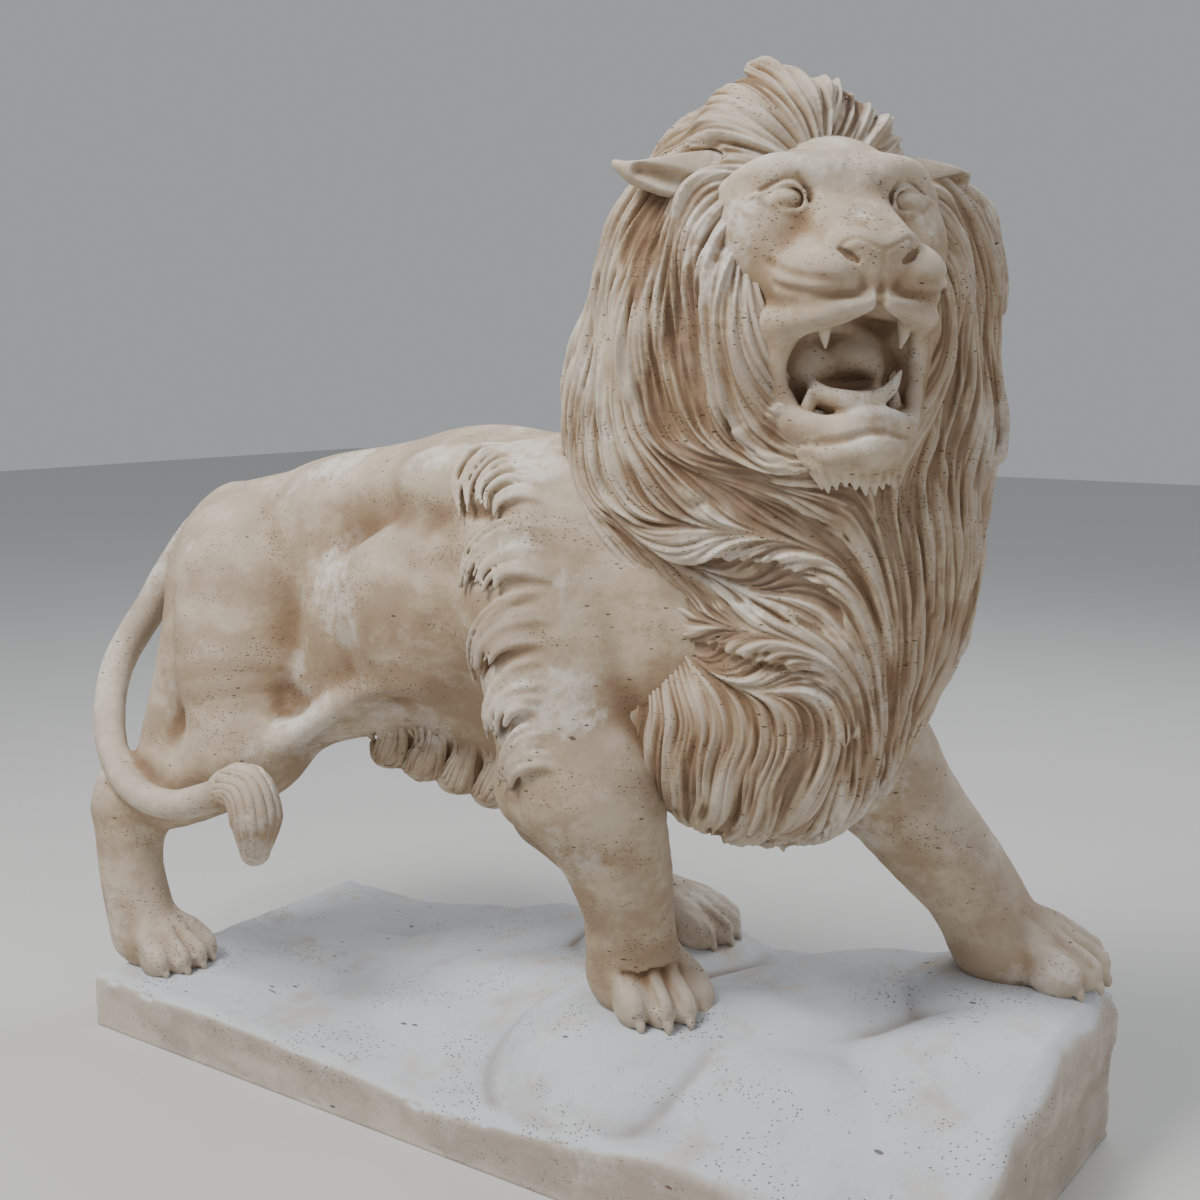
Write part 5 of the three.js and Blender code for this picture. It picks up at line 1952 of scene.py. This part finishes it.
    def belly(self, relief: Relief) -> list[Array]:
        """Strands over each lobe under the belly.

        Args:
            relief: the surface they lie on.

        Returns:
            The strands' rows.
        """
        strands = []
        for i in range(self.lion.lobes):
            x, z = self.lion.lobe_place(i)
            for side in (-1, 1):
                upper = np.array([(x - 0.5, side * 12, z + 11), (x - 1.2, side * 9, z + 3),
                                  (x - 4.4, side * 7, z - 1.6)])
                lower = np.array([(x + 8.5, side * 12, z + 11), (x + 7.6, side * 8, z),
                                  (x + 1.4, side * 7, z - 5)])
                strands += self.fan(relief, upper, lower, count=9, width=0.7, lift=0.4, seed=40 + i)
        return strands

    def tail(self, relief: Relief) -> list[Array]:
        """Strands round the tail's tuft.

        Args:
            relief: the surface they lie on.

        Returns:
            The strands' rows.
        """
        knots = np.array(self.lion.tail_tuft)
        strands = []
        leans = ((0.35, 0.94), (0.9, 0.42), (1, -0.1), (0.95, -0.3))
        for i in range(self.tail_strands):
            angle = 2 * math.pi * i / self.tail_strands
            cos, sin = math.cos(angle), math.sin(angle)
            line = [(x + r * ax * cos, y + r * sin, z + r * az * cos)
                    for (x, y, z, r), (ax, az) in zip(knots, leans)]
            path = rounded(np.column_stack([np.array(line), np.ones(4)]), 5)[:, :3]
            places, out = relief.settle(path, 4)
            t = np.linspace(0, 1, len(places))
            wide = 0.95 * (0.25 + 0.75 * np.sin(np.pi * np.clip(0.15 + 0.8 * t, 0, 1)) ** 0.7)
            # Strand ends count as deeper and their middles as less deep: painted shade at the roots and tips,
            # painted light along the raised middles.
            strands.append(np.column_stack([places - 0.25 * out, out, wide, 0.5 - 0.1 * np.sin(np.pi * t)]))
        return strands

    def build(self, finish: bpy.types.Material) -> list[bpy.types.Object]:
        """Sweeps all of the tufts.

        Args:
            finish: their material.

        Returns:
            The pieces.
        """
        sweep = Sweep()
        return [
            sweep.piece("belly_strands", self.belly(Relief(self.lion.trunk())), finish),
            sweep.piece("tail_strands", self.tail(Relief(self.lion.tail())), finish),
        ]


@dataclass
class Plinth:
    """The sawn slab and the rock on it."""

    lion: Lion
    lattice: Lattice
    quick: bool
    cell: float = 0.45
    lump_count: int = 22
    lowest: float = -1.6
    seat_rise: float = 0.6
    seat_reach: float = 11.0

    def ground(self, x: Array, y: Array) -> Array:
        """Height of the ground over the slab.

        Args:
            x: places along the plinth.
            y: places across it.

        Returns:
            One height for each place.
        """
        climb = 0.95 * smooth(x, -80, HALF_LENGTH - 20) * smooth(y, -HALF_WIDTH - 2, 2)
        near, far = self.lion.near_front, self.lion.far_front
        hills = (0.25 * hill(x, y, near[:2], (18, 12)) + 0.1 * hill(x, y, (-30, HALF_WIDTH), (26, 12))
                 + 0.12 * hill(x, y, far[:2], (22, 14))
                 + 0.34 * hill(x, y, (HALF_LENGTH - 24, -HALF_WIDTH + 17), (22, 11)))
        dips = 0.12 * hill(x, y, (2, 4), (20, 10)) + 0.16 * hill(x, y, (48, 10), (22, 10))
        return ROCK_TOP * (climb + hills - dips) - 0.6

    def lumps(self, x: Array, y: Array) -> Array:
        """Broad flat lumps of rock that overlap, over the ground's height.

        Args:
            x: places along the plinth.
            y: places across it.

        Returns:
            One height for each place.
        """
        rng = np.random.default_rng(11)
        best = np.full(x.shape, self.lowest)
        for _ in range(self.lump_count):
            cx, cy = rng.uniform(-70, HALF_LENGTH), rng.uniform(-HALF_WIDTH, HALF_WIDTH)
            wide, deep, tall = rng.uniform(16, 34), rng.uniform(9, 18), rng.uniform(0.8, 3.4)
            turn, tilt = rng.uniform(0, math.pi), rng.uniform(-0.07, 0.07, 2)
            u = ((x - cx) * math.cos(turn) + (y - cy) * math.sin(turn)) / wide
            v = ((y - cy) * math.cos(turn) - (x - cx) * math.sin(turn)) / deep
            dome = tall * (1 - (u * u + v * v) ** 1.3) - 0.6 + tilt[0] * (x - cx) + tilt[1] * (y - cy)
            best = -melt(-best, -dome, 1.4)
        return np.maximum(best, self.lowest)

    def build(self, finish: bpy.types.Material) -> bpy.types.Object:
        """Cuts the plinth.

        Args:
            finish: its material.

        Returns:
            The piece.
        """
        depth = PLINTH_THICKNESS / SHARE
        block = Block((-HALF_LENGTH - 3, -HALF_WIDTH - 3, -depth - 3),
                      (HALF_LENGTH + 6, HALF_WIDTH + 3, ROCK_TOP + 6), 0.9 if self.quick else self.cell)
        x, y, z = block.axes_of(tuple(slice(0, size) for size in block.values.shape))
        fx, fy = np.meshgrid(x.ravel(), y.ravel(), indexing="ij")
        flat = np.column_stack([fx.ravel(), fy.ravel(), np.zeros(fx.size)])
        folds = self.lattice.grain(flat * np.array([0.8, 1.2, 1]), 21, 3).reshape(fx.shape)
        rise = smooth(fx, -85, -10)
        rock = rise * (self.lumps(fx, fy) + 0.7 * folds - 0.3)
        height = np.maximum(self.ground(fx, fy), 0.05) + rock + 0.15 * folds
        for px, py, pz in self.lion.feet():
            past = np.maximum(np.hypot(fx - px, fy - py) - self.seat_reach, 0)
            seat = pz + self.seat_rise - 0.05 * past ** 2
            height = -melt(-height, -seat, 1.2)
        edge = smooth(np.minimum(HALF_WIDTH - np.abs(fy), HALF_LENGTH - np.abs(fx)), 0, 2.5)
        height -= 0.5 * (1 - edge)
        lumps = FRONT_OVERHANG * smooth(z, 1, 7) * (0.6 + 0.4 * np.cos(y / 3.4))
        sides = np.maximum(np.maximum(x - HALF_LENGTH - lumps, -HALF_LENGTH - x), np.abs(y) - HALF_WIDTH)
        top = 0.85 * (z - height[:, :, None])
        inner = np.maximum(top, sides)
        round_off = 0.9 + 2.6 * smooth(x, 20, 84)
        near = np.maximum(round_off - np.abs(top - sides), 0)
        inner = inner + near * near / (4 * round_off)
        block.values = np.maximum(inner, -depth - z).astype(np.float32)
        net = Net(*block.net())
        recess = block.sample(block.blurred(1.4), net.points)
        chips = smooth(self.lattice.grain(net.points, 5, 4), 0.1, 0.9) * (1 - smooth(recess, 0.3, 0.45))
        rough = self.lattice.grain(net.points + 50, 3, 3) * 0.07
        above = smooth(net.points[:, 2], -depth + 0.2, -depth + 1.5)
        net.points += net.normals() * ((rough - 1.1 * chips) * above)[:, None]
        broad = block.sample(block.blurred(3.5), net.points)
        piece = net.piece("plinth", {"recess": 0.5 * recess + 0.5 * broad}, finish)
        return kept(thinned(piece))


@dataclass
class Studio:
    """The floor, the lights and the camera."""

    eye: Place = (1.619, -2.188, 1.319)
    azimuth: float = 35.1
    pitch: float = 8.8
    lens: float = 46.44
    sensor: float = 36.0
    aim: Place = (0, 0, 0.9)
    floor_reach: float = 15.0
    floor_colour: Colour = (0.62, 0.62, 0.61, 1)
    sky_colour: Colour = (0.86, 0.89, 0.94, 1)
    sky_strength: float = 0.42

    def floor(self) -> None:
        """Lays a plain pale floor."""
        bench = Bench("floor")
        shader = bench.node("ShaderNodeBsdfPrincipled", {},
                            {"Base Color": self.floor_colour, "Roughness": 0.9})
        bench.node("ShaderNodeOutputMaterial", {}, {"Surface": shader.outputs["BSDF"]})
        mesh = bpy.data.meshes.new("floor")
        reach = self.floor_reach
        corners = [(-reach, -reach, 0), (reach, -reach, 0), (reach, reach, 0), (-reach, reach, 0)]
        mesh.from_pydata(corners, [], [(0, 1, 2, 3)])
        mesh.materials.append(bench.material)
        floor = bpy.data.objects.new("floor", mesh)
        bpy.context.scene.collection.objects.link(floor)

    def light(self, name: str, place: Place, size: float, power: float,
              colour: tuple[float, float, float] = (1, 1, 1)) -> None:
        """Hangs a square soft light that shines at the lion.

        Args:
            name: of the light.
            place: where it hangs.
            size: of its side, in metres.
            power: in watts.
            colour: of its light.
        """
        lamp = bpy.data.lights.new(name, "AREA")
        lamp.size = size
        lamp.energy = power
        lamp.color = colour
        holder = bpy.data.objects.new(name, lamp)
        holder.location = place
        holder.rotation_euler = (Vector(self.aim) - Vector(place)).to_track_quat("-Z", "Y").to_euler()
        bpy.context.scene.collection.objects.link(holder)

    def build(self) -> None:
        """Sets up the studio."""
        self.floor()
        self.light("key", (-1.0, -2.6, 4.6), size=1.8, power=235, colour=(1.0, 0.985, 0.96))
        self.light("fill", (4.4, -2.0, 2.2), size=3.0, power=34, colour=(0.97, 0.98, 1.0))
        self.light("back", (0.5, 3.2, 4.2), size=3.0, power=90)
        world = bpy.data.worlds.new("studio")
        world.use_nodes = True
        world.node_tree.nodes["Background"].inputs[0].default_value = self.sky_colour
        world.node_tree.nodes["Background"].inputs[1].default_value = self.sky_strength
        bpy.context.scene.world = world
        azimuth, pitch = math.radians(self.azimuth), math.radians(self.pitch)
        ahead = Vector((-math.sin(azimuth) * math.cos(pitch), math.cos(azimuth) * math.cos(pitch),
                        -math.sin(pitch)))
        lens = bpy.data.cameras.new("camera")
        lens.lens = self.lens
        lens.sensor_width = self.sensor
        camera = bpy.data.objects.new("camera", lens)
        camera.location = self.eye
        camera.rotation_euler = ahead.to_track_quat("-Z", "Y").to_euler()
        bpy.context.scene.collection.objects.link(camera)
        bpy.context.scene.camera = camera


def main() -> None:
    """Builds the statue piece by piece."""
    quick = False
    Studio().build()
    skin = Travertine(Part.SKIN).material()
    hair = Travertine(Part.HAIR).material()
    ground = Travertine(Part.GROUND).material()
    lion = Lion()
    mane = Mane()
    lattice = Lattice(7)
    Plinth(lion, lattice, quick).build(ground)
    sculpture = Sculpture(lion, mane, Flow(mane), lattice, quick)
    sculpture.body(skin)
    sculpture.head(hair)
    sculpture.hair(hair)
    Tufts(lion, mane).build(hair)


if __name__ == "__main__":
    main()
